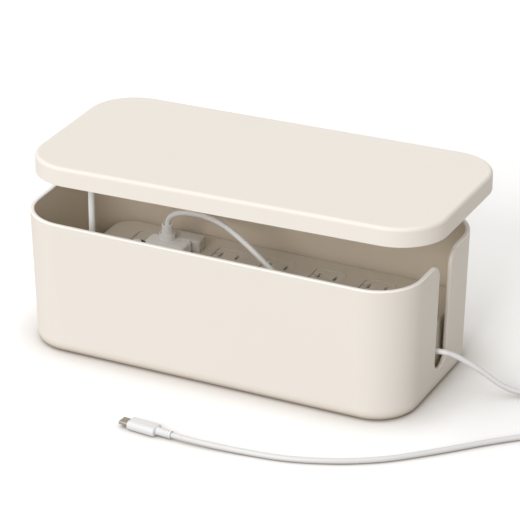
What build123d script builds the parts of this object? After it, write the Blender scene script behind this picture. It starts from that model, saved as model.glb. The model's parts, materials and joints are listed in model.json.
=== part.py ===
# Cable management box: a tub with a lid on a stay, and a power strip, a charger and its cable inside.
#
# Millimetres. The origin is the centre of the tub's footprint on the table, +X points to the slotted
# end, +Y to the back and +Z up. The lid is modelled raised on its stay, slid towards the slotted end and
# turned a little on the stay's ball.

from build123d import *

import os
from math import acos, atan2, cos, degrees, pi, radians, sin, tan

os.makedirs("parts", exist_ok=True)

# ---------------------------------------------------------------- driving dimensions

# tub
TUB_LENGTH = 300.0
TUB_WIDTH = 142.0
RIM_HEIGHT = 102.0
TUB_CORNER = 34.0
BASE_INSET = 3.3
TUB_WALL = 3.2
TUB_FLOOR = 3.1
TUB_BASE_ROUND = 5.0
INNER_FLOOR_ROUND = 2.8
RIM_SOFTENING = 0.9

# foot ring
FOOT_RING_INSET = 14.0
FOOT_RING_BAND = 7.0
FOOT_RING_THICK = 2.2
FOOT_RING_PROUD = 0.5
FOOT_RING_GAP = 0.1

# cable slot in the right end
SLOT_WIDTH = 20.0
SLOT_BOTTOM = 15.2
SLOT_OFFSET = 1.5
SLOT_FLARE = 11.5

# lid
LID_OVERHANG_END = 3.85
LID_OVERHANG_SIDE = 3.2
LID_CORNER_EXTRA = 1.3
LID_THICK = 13.95
LID_WALL = 2.4
LID_TOP_ROUND = 2.6
LID_EDGE_SOFTENING = 0.5
LID_RAISE = 30.77
LID_SLIDE = 10.35
LID_TURN = (-2.253, -0.516, 1.41)
PANEL_RECESS = 1.0
PANEL_THICK = 2.0
PANEL_GAP = 0.25
LID_PAD_LENGTH = 24.0
LID_PAD_WIDTH = 2.0
LID_PAD_SPACING = 160.0

# screws of the lid panel and the stay's track
SCREW_RADIUS = 1.25
SCREW_LENGTH = 5.5
SCREW_HEAD_RADIUS = 2.6
SCREW_HEAD_HEIGHT = 0.8
SCREW_PILOT_GAP = 0.03
SCREW_HOLE_GAP = 0.25
BOSS_RADIUS = 3.6
LID_SCREW_INSET_END = 24.0
LID_SCREW_INSET_SIDE = 16.0
LID_SCREW_COLUMNS = 4

# stay that carries the lid
STAY_FROM_LEFT = 41.0
STAY_FROM_FRONT = 41.0
ROD_RADIUS = 2.3
ROD_GUIDE_GAP = 0.1
ROD_ENGAGEMENT = 35.0
STOP_RADIUS = 4.0
STOP_HEIGHT = 3.0
STOP_GAP = 0.3
STOP_BORE_GAP = 0.4
ROD_TOP_GAP = 0.6
BALL_RADIUS = 1.8
BALL_GAP = 0.06
STUD_NECK_RADIUS = 1.1
STUD_NECK_GAP = 0.9
STUD_SEAT = 6.0
HEAD_RADIUS = 6.0
HEAD_HEIGHT = 4.0
HEAD_GAP = 0.3
HEAD_MOUTH_GAP = 0.35
TRACK_WALL = 1.6
TRACK_ROOF = 1.4
TRACK_EAR_LENGTH = 7.0
TRACK_EAR_WIDTH = 7.0
TRACK_EAR_HEIGHT = 4.0
SLEEVE_HEIGHT = 69.4
SLEEVE_RADIUS = 5.6
SLEEVE_FLANGE_LENGTH = 28.0
SLEEVE_FLANGE_WIDTH = 16.0
SLEEVE_FLANGE_THICK = 2.5
SLEEVE_PAD_HEIGHT = 3.0
SLEEVE_SCREW_SPACING = 20.0
SLEEVE_SCREW_LENGTH = 6.5
RING_RADIUS = 4.2
RING_HEIGHT = 4.5
RING_ROD_GAP = 0.05
PRESS_GAP = 0.03

# power strip
STRIP_WIDTH = 58.0
STRIP_HEIGHT = 41.6
STRIP_FRONT_CORNER = 8.0
STRIP_BACK_CORNER = 24.0
STRIP_LEFT_CORNER = 15.0
STRIP_TOP_ROUND = 2.0
STRIP_BASE_ROUND = 2.0
STRIP_WALL = 2.4
STRIP_BASE_HEIGHT = 15.0
STRIP_BACK_GAP = 1.0
STRIP_LEFT_GAP = 8.5
STRIP_RIGHT_GAP = 2.0
STRIP_PAD_THICK = 1.4
STRIP_PAD_LENGTH = 22.0
STRIP_PAD_WIDTH = 10.0
STRIP_SCREW_RADIUS = 1.5
STRIP_SCREW_LENGTH = 24.0
STRIP_SCREW_HEAD_RADIUS = 2.9
STRIP_SCREW_HEAD_HEIGHT = 2.0
STRIP_SCREW_RECESS = 3.0
STRIP_POST_RADIUS = 3.6
STRIP_SCREW_START = 20.0
STRIP_SCREW_END = 42.5
STRIP_SCREW_COLUMNS = 3
STRIP_SCREW_INSET = 5.4

# outlets
OUTLET_COUNT = 5
OUTLET_ROW_START = 49.0
OUTLET_ROW_END = 47.5
FACE_SPACING = 15.0
FACE_WIDTH = 26.0
FACE_SHIFT = 1.5
FACE_RECESS = 0.5
FACE_GAP = 0.15
FACE_FLANGE = 1.2
FACE_FLANGE_THICK = 1.2
FACE_CORNER = 3.0
FACE_CHAMFER = 0.4
BLADE_SPACING = 12.7
BLADE_THICK = 1.5
BLADE_WIDTH = 6.3
BLADE_REACH = 15.5
BLADE_SLOT_WIDTH = 2.2
BLADE_SLOT_LENGTH = 7.4
CROSS_SLOT_LENGTH = 5.0
BLADE_SHIFT = 4.0
EARTH_BELOW_BLADES = 11.9
EARTH_HOLE_RADIUS = 2.6

# contact bars
BAR_THICK = 0.8
BAR_HEIGHT = 8.0
BAR_BOTTOM = 28.0
CLIP_TOP = 40.4
CLIP_LEAF = 0.6
CLIP_GAP = 0.1
LINE_BAR_SHIFT = 9.0
NEUTRAL_BAR_SHIFT = -7.0
EARTH_BAR_SHIFT = -6.6
EARTH_TUBE_WALL = 0.7
BAR_POST_LENGTH = 6.0
BAR_POST_THICK = 3.0

# reset button of the breaker
BREAKER_START = 31.0
BREAKER_FACE_LENGTH = 16.0
BREAKER_FACE_WIDTH = 34.0
BREAKER_BELOW_FACE = 4.5
BREAKER_RADIUS = 5.5
BREAKER_DEPTH = 20.0
BREAKER_COLLAR_RADIUS = 6.8
BREAKER_COLLAR_HEIGHT = 1.2
BUTTON_RADIUS = 3.5
BUTTON_GAP = 0.1
BUTTON_TRAVEL = 1.8
BUTTON_PROUD = 2.0
BUTTON_LENGTH = 8.2

# rocker switch
SWITCH_END = 23.5
SWITCH_BELOW_CENTRE = 13.0
ROCKER_RADIUS = 9.1
ROCKER_WIDTH = 11.0
ROCKER_GAP = 0.4
ROCKER_TILT = 7.5
ROCKER_DEPTH = 5.0
ROCKER_CROWN = 3.2
ROCKER_PIN_RADIUS = 1.5
ROCKER_PIN_GAP = 0.05
ROCKER_PIN_SETBACK = 0.2
SWITCH_WALL = 0.9
SWITCH_DEPTH = 16.6
SWITCH_CUTOUT_GAP = 0.2
BEZEL_BAND = 2.0
BEZEL_THICK = 1.4
PIVOT_BELOW_TOP = 1.6
TERMINAL_LENGTH = 10.0
TERMINAL_WIDTH = 6.3
TERMINAL_THICK = 0.8
TERMINAL_PITCH = 6.0

# gland of the strip's own cord
GLAND_START = 37.0
GLAND_NECK = 4.8
GLAND_FLANGE = 6.5
GLAND_FLANGE_THICK = 2.0
GLAND_BOOT_LENGTH = 12.0
GLAND_BOOT_TIP = 3.9
GLAND_BORE = 3.2
GLAND_RIB = 0.5
GLAND_RIBS = 4

# charger
CHARGER_HEIGHT = 9.0
CHARGER_WALL = 1.6
CHARGER_SIDE_WALL = 2.5
CHARGER_ROOF = 2.5
CHARGER_FRONT_LENGTH = 31.8
CHARGER_FRONT_SHIFT = -3.5
CHARGER_FRONT_DEPTH = 15.0
CHARGER_REAR_LENGTH = 31.0
CHARGER_REAR_SHIFT = 2.5
CHARGER_REAR_DEPTH = 12.0
CHARGER_JOINT_BELOW_BLADES = 6.5
CHARGER_CORNER = 3.0
CHARGER_JOINT_ROUND = 2.3
CHARGER_FRONT_ROUND = 2.2
CHARGER_REAR_ROUND = 2.0
BOARD_THICK = 1.2
BOARD_MARGIN = 1.0

# two-stage boot and the cable
BOOT_SHIFT_X = -5.4
BOOT_BELOW_BLADES = 11.4
COLLAR_RADIUS = 5.8
COLLAR_HEIGHT = 5.2
COLLAR_RECESS = 1.6
BOOT_WALL = 1.0
SLEEVE_TOP_RADIUS = 3.95
SLEEVE_FOOT_RADIUS = 4.4
BOOT_SLEEVE_HEIGHT = 8.4
BOOT_SLEEVE_FLOOR = 1.4
BOOT_MOUTH_RADIUS = 2.9
CABLE_RADIUS = 2.0
CABLE_GAP = 0.15

# USB-C plug
PLUG_HEADING = 174.8
RELIEF_LENGTH = 11.4
RELIEF_FOOT_RADIUS = 3.0
RELIEF_TIP_RADIUS = 2.8
RELIEF_RECESS = 1.0
RELIEF_RECESS_RADIUS = 2.35
OVERMOULD_LENGTH = 21.8
OVERMOULD_WIDTH = 11.6
OVERMOULD_THICK = 6.5
OVERMOULD_CORNER = 3.0
OVERMOULD_SOFTENING = 0.8
SHELL_REACH = 7.0
SHELL_SEAT = 3.0
SHELL_WIDTH = 8.34
SHELL_THICK = 2.56
SHELL_CORNER = 1.2
SHELL_WALL = 0.3
LINER_WALL = 0.45
LINER_SETBACK = 0.6
LINER_MOUTH_DEPTH = 5.0

# the cable's route, chosen by hand: its arch, from the boot's foot
ARCH_POINTS = [
    (0.0, 0.0, -5.6),
    (0.0, 0.0, 3.0),
    (0.6, -0.2, 18.9),
    (19.4, -6.6, 28.4),
    (47.4, -16.6, 32.4),
    (71.4, -25.6, 26.9),
]
# its slack on the tub's floor, from the tub's centre
SLACK_POINTS = [
    (40.0, -9.0, 54.0),
    (78.0, -17.0, 14.0),
    (112.0, -21.0, 6.0),
    (110.0, -60.0, 6.0),
    (66.0, -61.5, 6.0),
    (32.0, -58.5, 6.0),
    (4.0, -61.0, 6.0),
    (2.0, -16.0, 6.0),
    (30.0, -8.0, 6.0),
    (64.0, -10.0, 6.0),
    (100.0, -7.0, 9.0),
]
# its run outside, from the middle of the tub's right end
OUTSIDE_POINTS = [
    (-26.0, -4.0, 20.0),
    (-2.0, -1.0, 32.0),
    (23.5, 3.0, 21.5),
    (47.5, 8.0, 4.0),
    (72.0, 22.0, 2.1),
    (106.0, 12.0, 2.1),
    (118.0, -14.0, 2.1),
    (94.0, -30.0, 2.1),
    (64.0, -55.0, 2.1),
    (33.0, -87.5, 2.1),
    (-1.5, -119.0, 2.1),
    (-47.0, -139.5, 2.1),
    (-84.5, -144.5, 2.1),
    (-122.0, -147.7, 3.25),
    (-138.6, -146.2, 3.25),
]

# ---------------------------------------------------------------- sizes that follow

tub_bottom = FOOT_RING_PROUD
floor_top = tub_bottom + TUB_FLOOR
draft = degrees(atan2(BASE_INSET, RIM_HEIGHT - tub_bottom))

lid_length = TUB_LENGTH + 2 * LID_OVERHANG_END
lid_width = TUB_WIDTH + 2 * LID_OVERHANG_SIDE
lid_corner = TUB_CORNER + LID_CORNER_EXTRA
lid_bottom = RIM_HEIGHT + LID_RAISE
lid_top = lid_bottom + LID_THICK
lid_ceiling = lid_top - LID_WALL
panel_bottom = lid_bottom + PANEL_RECESS
panel_top = panel_bottom + PANEL_THICK

stay_x = STAY_FROM_LEFT - TUB_LENGTH / 2
stay_y = STAY_FROM_FRONT - TUB_WIDTH / 2
sleeve_bottom = floor_top + SLEEVE_PAD_HEIGHT
sleeve_top = sleeve_bottom + SLEEVE_HEIGHT
rod_bottom = sleeve_top - ROD_ENGAGEMENT
guide_bottom = rod_bottom + STOP_HEIGHT + STOP_GAP
head_bottom = panel_top + HEAD_GAP
head_top = head_bottom + HEAD_HEIGHT
rod_top = panel_bottom - ROD_TOP_GAP
ball_z = head_bottom + HEAD_HEIGHT / 2
lid_turn_axis = Axis((stay_x, stay_y, ball_z), LID_TURN)
lid_turn_angle = Vector(*LID_TURN).length
track_room_top = head_top + HEAD_GAP
track_room_width = 2 * (HEAD_RADIUS + HEAD_GAP)
track_room_length = track_room_width + LID_SLIDE
track_x = stay_x + LID_SLIDE / 2

strip_right = TUB_LENGTH / 2 - BASE_INSET - TUB_WALL - STRIP_RIGHT_GAP
strip_left = BASE_INSET + TUB_WALL + STRIP_LEFT_GAP - TUB_LENGTH / 2
strip_length = strip_right - strip_left
strip_x = strip_right - strip_length / 2
strip_back = TUB_WIDTH / 2 - BASE_INSET - TUB_WALL - STRIP_BACK_GAP
strip_y = strip_back - STRIP_WIDTH / 2
strip_front = strip_back - STRIP_WIDTH
strip_bottom = floor_top + STRIP_PAD_THICK
strip_split = strip_bottom + STRIP_BASE_HEIGHT
strip_top = strip_bottom + STRIP_HEIGHT
strip_ceiling = strip_top - STRIP_WALL
face_top = strip_top - FACE_RECESS
face_y = strip_y + FACE_SHIFT
blade_y = face_y + BLADE_SHIFT
earth_y = blade_y - EARTH_BELOW_BLADES
outlet_row = strip_length - OUTLET_ROW_START - OUTLET_ROW_END
face_length = (outlet_row + FACE_SPACING) / OUTLET_COUNT - FACE_SPACING
outlet_pitch = face_length + FACE_SPACING
first_outlet = strip_left + OUTLET_ROW_START + face_length / 2
outlet_xs = [first_outlet + i * outlet_pitch for i in range(OUTLET_COUNT)]
strip_screw_pitch = (strip_length - STRIP_SCREW_START - STRIP_SCREW_END) / (STRIP_SCREW_COLUMNS - 1)
strip_screw_spots = [
    (strip_left + STRIP_SCREW_START + column * strip_screw_pitch, side)
    for column in range(STRIP_SCREW_COLUMNS)
    for side in (strip_front + STRIP_SCREW_INSET, strip_back - STRIP_SCREW_INSET)
]
blade_bottom = strip_top - BLADE_REACH
line_bar_y = blade_y + LINE_BAR_SHIFT
neutral_bar_y = blade_y + NEUTRAL_BAR_SHIFT
earth_bar_y = earth_y + EARTH_BAR_SHIFT

breaker_x = strip_left + BREAKER_START
breaker_face_y = face_y + (FACE_WIDTH - BREAKER_FACE_WIDTH) / 2
breaker_y = breaker_face_y - BREAKER_BELOW_FACE
breaker_top = face_top + BREAKER_COLLAR_HEIGHT
button_top = breaker_top + BUTTON_PROUD
button_bottom = button_top - BUTTON_LENGTH

switch_x = strip_right - SWITCH_END
switch_y = strip_y - SWITCH_BELOW_CENTRE
pivot_z = strip_top - PIVOT_BELOW_TOP
switch_room_length = 2 * (ROCKER_RADIUS + ROCKER_GAP)
switch_room_width = ROCKER_WIDTH + 2 * ROCKER_GAP
switch_length = switch_room_length + 2 * SWITCH_WALL
switch_width = switch_room_width + 2 * SWITCH_WALL
switch_bottom = strip_top - SWITCH_DEPTH

gland_x = strip_left + GLAND_START

charger_x = outlet_xs[0]
charger_joint_y = blade_y - CHARGER_JOINT_BELOW_BLADES
charger_front_y = charger_joint_y - CHARGER_FRONT_DEPTH
charger_front_x = charger_x + CHARGER_FRONT_SHIFT
charger_rear_x = charger_x + CHARGER_REAR_SHIFT
charger_room_left = (
    max(charger_front_x - CHARGER_FRONT_LENGTH / 2, charger_rear_x - CHARGER_REAR_LENGTH / 2) + CHARGER_SIDE_WALL
)
charger_room_right = (
    min(charger_front_x + CHARGER_FRONT_LENGTH / 2, charger_rear_x + CHARGER_REAR_LENGTH / 2) - CHARGER_SIDE_WALL
)
charger_room_length = charger_room_right - charger_room_left
charger_room_x = (charger_room_left + charger_room_right) / 2
charger_bottom = strip_top
charger_top = charger_bottom + CHARGER_HEIGHT
board_bottom = charger_bottom + CHARGER_WALL
board_top = board_bottom + BOARD_THICK
boot_x = charger_x + BOOT_SHIFT_X
boot_y = blade_y - BOOT_BELOW_BLADES
collar_top = charger_top + COLLAR_HEIGHT
boot_sleeve_bottom = collar_top - COLLAR_RECESS
boot_sleeve_top = boot_sleeve_bottom + BOOT_SLEEVE_HEIGHT
cable_points = [
    *[(boot_x + dx, boot_y + dy, charger_top + dz) for dx, dy, dz in ARCH_POINTS],
    *SLACK_POINTS,
    *[(TUB_LENGTH / 2 + dx, dy, dz) for dx, dy, dz in OUTSIDE_POINTS],
]
cable_start = cable_points[0][2]


def save(piece, name):
    """Label a finished piece and write its STEP file."""
    piece.part.label = name
    export_step(piece.part, f"parts/{name}.step")


def save_turned(piece, name):
    """Turn a piece of the lid about the stay's ball, label it and write its STEP file."""
    turned = piece.part.rotate(lid_turn_axis, lid_turn_angle)
    turned.label = name
    export_step(turned, f"parts/{name}.step")


# ---------------------------------------------------------------- tub


def make_tub():
    """Tub with drafted walls, the cable slot, the foot ring's groove and the stay's pad."""
    with BuildPart() as tub:
        with BuildSketch(Plane.XY.offset(RIM_HEIGHT)):
            RectangleRounded(TUB_LENGTH, TUB_WIDTH, TUB_CORNER)
        extrude(amount=-(RIM_HEIGHT - tub_bottom), taper=draft)
        fillet(tub.faces().sort_by(Axis.Z)[0].edges(), TUB_BASE_ROUND)
        with BuildSketch(Plane.XY.offset(RIM_HEIGHT)):
            RectangleRounded(TUB_LENGTH - 2 * TUB_WALL, TUB_WIDTH - 2 * TUB_WALL, TUB_CORNER - TUB_WALL)
        extrude(amount=-(RIM_HEIGHT - floor_top), taper=draft, mode=Mode.SUBTRACT)
        inner_floor = tub.faces().filter_by(Plane.XY).sort_by(Axis.Z)[1]
        fillet(inner_floor.edges(), INNER_FLOOR_ROUND)

        cut_depth = BASE_INSET + 2 * TUB_WALL
        with BuildSketch(Plane.YZ.offset(TUB_LENGTH / 2 - cut_depth)) as slot_outline:
            with Locations((SLOT_OFFSET, SLOT_BOTTOM + SLOT_WIDTH / 2)):
                Circle(SLOT_WIDTH / 2)
                Rectangle(SLOT_WIDTH, RIM_HEIGHT, align=(Align.CENTER, Align.MIN))
            with Locations((SLOT_OFFSET, RIM_HEIGHT)):
                Rectangle(SLOT_WIDTH + 4 * SLOT_FLARE, RIM_HEIGHT, align=(Align.CENTER, Align.MIN))
            mouth = (
                slot_outline.vertices()
                .filter_by_position(Axis.X, -SLOT_WIDTH, SLOT_WIDTH)
                .filter_by_position(Axis.Y, RIM_HEIGHT - SLOT_FLARE, RIM_HEIGHT + SLOT_FLARE)
            )
            fillet(mouth, SLOT_FLARE)
        extrude(amount=2 * cut_depth, mode=Mode.SUBTRACT)
        rim = tub.edges().filter_by(lambda e: e.center().Z > RIM_HEIGHT - RIM_SOFTENING)
        slot_side = (
            tub.edges()
            .filter_by_position(Axis.X, TUB_LENGTH / 2 - cut_depth, TUB_LENGTH / 2)
            .filter_by_position(Axis.Y, -SLOT_WIDTH, SLOT_WIDTH)
            .filter_by_position(Axis.Z, SLOT_BOTTOM - RIM_SOFTENING, RIM_HEIGHT)
            .filter_by(lambda e: e.geom_type != GeomType.LINE or abs(e.tangent_at(0).X) < 0.5)
        )
        fillet(ShapeList(set(rim) | set(slot_side)), RIM_SOFTENING)

        with BuildSketch(Plane.XY.offset(tub_bottom)):
            foot_ring_outline(FOOT_RING_GAP)
        extrude(amount=FOOT_RING_THICK - FOOT_RING_PROUD, mode=Mode.SUBTRACT)

        with BuildSketch(Plane.XY.offset(floor_top)):
            with Locations((stay_x, stay_y)):
                RectangleRounded(SLEEVE_FLANGE_LENGTH, SLEEVE_FLANGE_WIDTH, BOSS_RADIUS)
        extrude(amount=SLEEVE_PAD_HEIGHT)
        with Locations((stay_x, stay_y, sleeve_bottom)):
            with GridLocations(SLEEVE_SCREW_SPACING, 0, 2, 1):
                Hole(SCREW_RADIUS + SCREW_PILOT_GAP, SLEEVE_SCREW_LENGTH - SLEEVE_FLANGE_THICK)
    save(tub, "tub")


def foot_ring_outline(gap):
    """Band of the foot ring, widened by a gap for the groove that holds it."""
    length = TUB_LENGTH - 2 * (BASE_INSET + FOOT_RING_INSET)
    width = TUB_WIDTH - 2 * (BASE_INSET + FOOT_RING_INSET)
    corner = TUB_CORNER - BASE_INSET - FOOT_RING_INSET
    RectangleRounded(length + 2 * gap, width + 2 * gap, corner + gap)
    inner = FOOT_RING_BAND + gap
    RectangleRounded(length - 2 * inner, width - 2 * inner, corner - inner, mode=Mode.SUBTRACT)


def make_foot_ring():
    """Rubber ring under the tub."""
    with BuildPart() as foot_ring:
        with BuildSketch():
            foot_ring_outline(0)
        extrude(amount=FOOT_RING_THICK)
    save(foot_ring, "foot_ring")


# ---------------------------------------------------------------- lid


def lid_screw_grid():
    """Places of the panel's screws, along both long sides of the lid."""
    length = lid_length - 2 * LID_SCREW_INSET_END
    width = lid_width - 2 * LID_SCREW_INSET_SIDE
    return GridLocations(length / (LID_SCREW_COLUMNS - 1), width, LID_SCREW_COLUMNS, 2)


def track_ears():
    """Places of the ears of the stay's track."""
    return GridLocations(track_room_length - TRACK_EAR_LENGTH, track_room_width + TRACK_EAR_WIDTH + TRACK_WALL, 2, 2)


def make_lid_shell():
    """Lid's top and skirt, with bosses for the panel's screws."""
    with BuildPart() as lid_shell:
        with BuildSketch(Plane.XY.offset(lid_bottom)):
            with Locations((LID_SLIDE, 0)):
                RectangleRounded(lid_length, lid_width, lid_corner)
        extrude(amount=LID_THICK)
        fillet(lid_shell.faces().sort_by(Axis.Z)[-1].edges(), LID_TOP_ROUND)
        fillet(lid_shell.faces().sort_by(Axis.Z)[0].edges(), LID_EDGE_SOFTENING)
        with BuildSketch(Plane.XY.offset(lid_bottom)):
            with Locations((LID_SLIDE, 0)):
                RectangleRounded(lid_length - 2 * LID_WALL, lid_width - 2 * LID_WALL, lid_corner - LID_WALL)
        extrude(amount=LID_THICK - LID_WALL, mode=Mode.SUBTRACT)
        with BuildSketch(Plane.XY.offset(panel_top)):
            with Locations((LID_SLIDE, 0)):
                with lid_screw_grid():
                    Circle(BOSS_RADIUS)
        extrude(amount=lid_ceiling - panel_top)
        with BuildSketch(Plane.XY.offset(panel_top)):
            with Locations((LID_SLIDE, 0)):
                with lid_screw_grid():
                    Circle(SCREW_RADIUS + SCREW_PILOT_GAP)
        extrude(amount=SCREW_LENGTH - PANEL_THICK, mode=Mode.SUBTRACT)
    save_turned(lid_shell, "lid_shell")


def make_lid_panel():
    """Panel that closes the lid from below, with the slot in which the stay's stud runs."""
    inset = LID_WALL + PANEL_GAP
    with BuildPart() as lid_panel:
        with BuildSketch(Plane.XY.offset(panel_bottom)):
            with Locations((LID_SLIDE, 0)):
                RectangleRounded(lid_length - 2 * inset, lid_width - 2 * inset, lid_corner - inset)
                with lid_screw_grid():
                    Circle(SCREW_RADIUS + SCREW_HOLE_GAP, mode=Mode.SUBTRACT)
            with Locations((track_x, stay_y)):
                neck_slot = 2 * (STUD_NECK_RADIUS + STUD_NECK_GAP)
                SlotOverall(neck_slot + LID_SLIDE, neck_slot, mode=Mode.SUBTRACT)
                with track_ears():
                    Circle(SCREW_RADIUS + SCREW_HOLE_GAP, mode=Mode.SUBTRACT)
        extrude(amount=PANEL_THICK)
    save_turned(lid_panel, "lid_panel")


def make_lid_pads():
    """Soft pads under the panel, above the tub's rim when the lid is shut."""
    with BuildPart() as lid_pads:
        with BuildSketch(Plane.XY.offset(lid_bottom)):
            with Locations((LID_SLIDE, 0)):
                with GridLocations(LID_PAD_SPACING, TUB_WIDTH - TUB_WALL, 2, 2):
                    SlotOverall(LID_PAD_LENGTH, LID_PAD_WIDTH)
        extrude(amount=PANEL_RECESS)
    save_turned(lid_pads, "lid_pads")


def make_lid_screws():
    """Screws through the panel, into the lid's bosses and into the ears of the track."""
    with BuildPart() as lid_screws:
        for radius, start, height in (
            (SCREW_HEAD_RADIUS, panel_bottom - SCREW_HEAD_HEIGHT, SCREW_HEAD_HEIGHT),
            (SCREW_RADIUS, panel_bottom, SCREW_LENGTH),
        ):
            with BuildSketch(Plane.XY.offset(start)):
                with Locations((LID_SLIDE, 0)):
                    with lid_screw_grid():
                        Circle(radius)
                with Locations((track_x, stay_y)):
                    with track_ears():
                        Circle(radius)
            extrude(amount=height)
    save_turned(lid_screws, "lid_screws")


# ---------------------------------------------------------------- stay


def make_stay_rod():
    """Rod that carries the lid."""
    with BuildPart() as stay_rod:
        with BuildSketch(Plane.XY.offset(rod_bottom)):
            with Locations((stay_x, stay_y)):
                Circle(ROD_RADIUS)
        extrude(amount=rod_top - rod_bottom)
        with BuildSketch(Plane.XY.offset(rod_top)):
            with Locations((stay_x, stay_y)):
                Circle(STUD_NECK_RADIUS + PRESS_GAP)
        extrude(amount=-STUD_SEAT, mode=Mode.SUBTRACT)
    save(stay_rod, "stay_rod")


def make_stay_stud():
    """Ball stud pressed into the rod's top."""
    with BuildPart() as stay_stud:
        with BuildSketch(Plane.XY.offset(rod_top - STUD_SEAT)):
            with Locations((stay_x, stay_y)):
                Circle(STUD_NECK_RADIUS)
        extrude(amount=ball_z - rod_top + STUD_SEAT)
        with Locations((stay_x, stay_y, ball_z)):
            Sphere(BALL_RADIUS)
    save(stay_stud, "stay_stud")


def make_stay_head():
    """Shoe on the ball, captive between the lid's panel and the track."""
    with BuildPart() as stay_head:
        with BuildSketch(Plane.XY.offset(head_bottom)):
            with Locations((stay_x, stay_y)):
                Circle(HEAD_RADIUS)
        extrude(amount=HEAD_HEIGHT)
        with Locations((stay_x, stay_y, ball_z)):
            Sphere(BALL_RADIUS + BALL_GAP, mode=Mode.SUBTRACT)
        with BuildSketch(Plane.XY.offset(head_bottom)):
            with Locations((stay_x, stay_y)):
                Circle(STUD_NECK_RADIUS + HEAD_MOUTH_GAP)
        extrude(amount=HEAD_HEIGHT / 2, mode=Mode.SUBTRACT)
    save_turned(stay_head, "stay_head")


def make_stay_stop():
    """Collar at the rod's lower end, which stops the lid at its full height."""
    with BuildPart() as stay_stop:
        with BuildSketch(Plane.XY.offset(rod_bottom)):
            with Locations((stay_x, stay_y)):
                Circle(STOP_RADIUS)
                Circle(ROD_RADIUS + PRESS_GAP, mode=Mode.SUBTRACT)
        extrude(amount=STOP_HEIGHT)
    save(stay_stop, "stay_stop")


def make_stay_track():
    """Channel on the lid's panel that the stay's shoe slides in."""
    with BuildPart() as stay_track:
        with BuildSketch(Plane.XY.offset(panel_top)):
            with Locations((track_x, stay_y)):
                Rectangle(track_room_length + 2 * TRACK_WALL, track_room_width + 2 * TRACK_WALL)
        extrude(amount=track_room_top + TRACK_ROOF - panel_top)
        with BuildSketch(Plane.XY.offset(panel_top)):
            with Locations((track_x, stay_y)):
                with track_ears():
                    Rectangle(TRACK_EAR_LENGTH, TRACK_EAR_WIDTH)
        extrude(amount=TRACK_EAR_HEIGHT)
        with BuildSketch(Plane.XY.offset(panel_top)):
            with Locations((track_x, stay_y)):
                SlotOverall(track_room_length, track_room_width)
        extrude(amount=track_room_top - panel_top, mode=Mode.SUBTRACT)
        with BuildSketch(Plane.XY.offset(panel_top)):
            with Locations((track_x, stay_y)):
                with track_ears():
                    Circle(SCREW_RADIUS + SCREW_PILOT_GAP)
        extrude(amount=TRACK_EAR_HEIGHT, mode=Mode.SUBTRACT)
    save_turned(stay_track, "stay_track")


def make_stay_sleeve():
    """Guide sleeve on the tub's floor, with a shoulder above the rod's stop and a pocket for the ring."""
    with BuildPart() as stay_sleeve:
        with BuildSketch(Plane.XY.offset(sleeve_bottom)):
            with Locations((stay_x, stay_y)):
                RectangleRounded(SLEEVE_FLANGE_LENGTH, SLEEVE_FLANGE_WIDTH, BOSS_RADIUS)
                with GridLocations(SLEEVE_SCREW_SPACING, 0, 2, 1):
                    Circle(SCREW_RADIUS + SCREW_HOLE_GAP, mode=Mode.SUBTRACT)
        extrude(amount=SLEEVE_FLANGE_THICK)
        with BuildSketch(Plane.XY.offset(sleeve_bottom)):
            with Locations((stay_x, stay_y)):
                Circle(SLEEVE_RADIUS)
        extrude(amount=SLEEVE_HEIGHT)
        for radius, start, end in (
            (STOP_RADIUS + STOP_BORE_GAP, sleeve_bottom, guide_bottom),
            (ROD_RADIUS + ROD_GUIDE_GAP, guide_bottom, sleeve_top),
            (RING_RADIUS, sleeve_top - RING_HEIGHT, sleeve_top),
        ):
            with BuildSketch(Plane.XY.offset(start)):
                with Locations((stay_x, stay_y)):
                    Circle(radius)
            extrude(amount=end - start, mode=Mode.SUBTRACT)
    save(stay_sleeve, "stay_sleeve")


def make_stay_friction_ring():
    """Rubber ring in the sleeve's mouth that grips the rod."""
    with BuildPart() as stay_friction_ring:
        with BuildSketch(Plane.XY.offset(sleeve_top - RING_HEIGHT)):
            with Locations((stay_x, stay_y)):
                Circle(RING_RADIUS - PRESS_GAP)
                Circle(ROD_RADIUS + RING_ROD_GAP, mode=Mode.SUBTRACT)
        extrude(amount=RING_HEIGHT)
    save(stay_friction_ring, "stay_friction_ring")


def make_stay_sleeve_screws():
    """Two screws that hold the sleeve's flange to the tub's pad."""
    flange_top = sleeve_bottom + SLEEVE_FLANGE_THICK
    with BuildPart() as stay_sleeve_screws:
        for radius, start, height in (
            (SCREW_HEAD_RADIUS, flange_top, SCREW_HEAD_HEIGHT),
            (SCREW_RADIUS, flange_top, -SLEEVE_SCREW_LENGTH),
        ):
            with BuildSketch(Plane.XY.offset(start)):
                with Locations((stay_x, stay_y)):
                    with GridLocations(SLEEVE_SCREW_SPACING, 0, 2, 1):
                        Circle(radius)
            extrude(amount=height)
    save(stay_sleeve_screws, "stay_sleeve_screws")


# ---------------------------------------------------------------- power strip


def bar_post_spots():
    """Places of the posts that carry the contact bars, between the outlets."""
    gaps = [(a + b) / 2 for a, b in zip(outlet_xs, outlet_xs[1:])]
    return [(x, y) for x in gaps for y in (line_bar_y, neutral_bar_y, earth_bar_y)]


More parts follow.
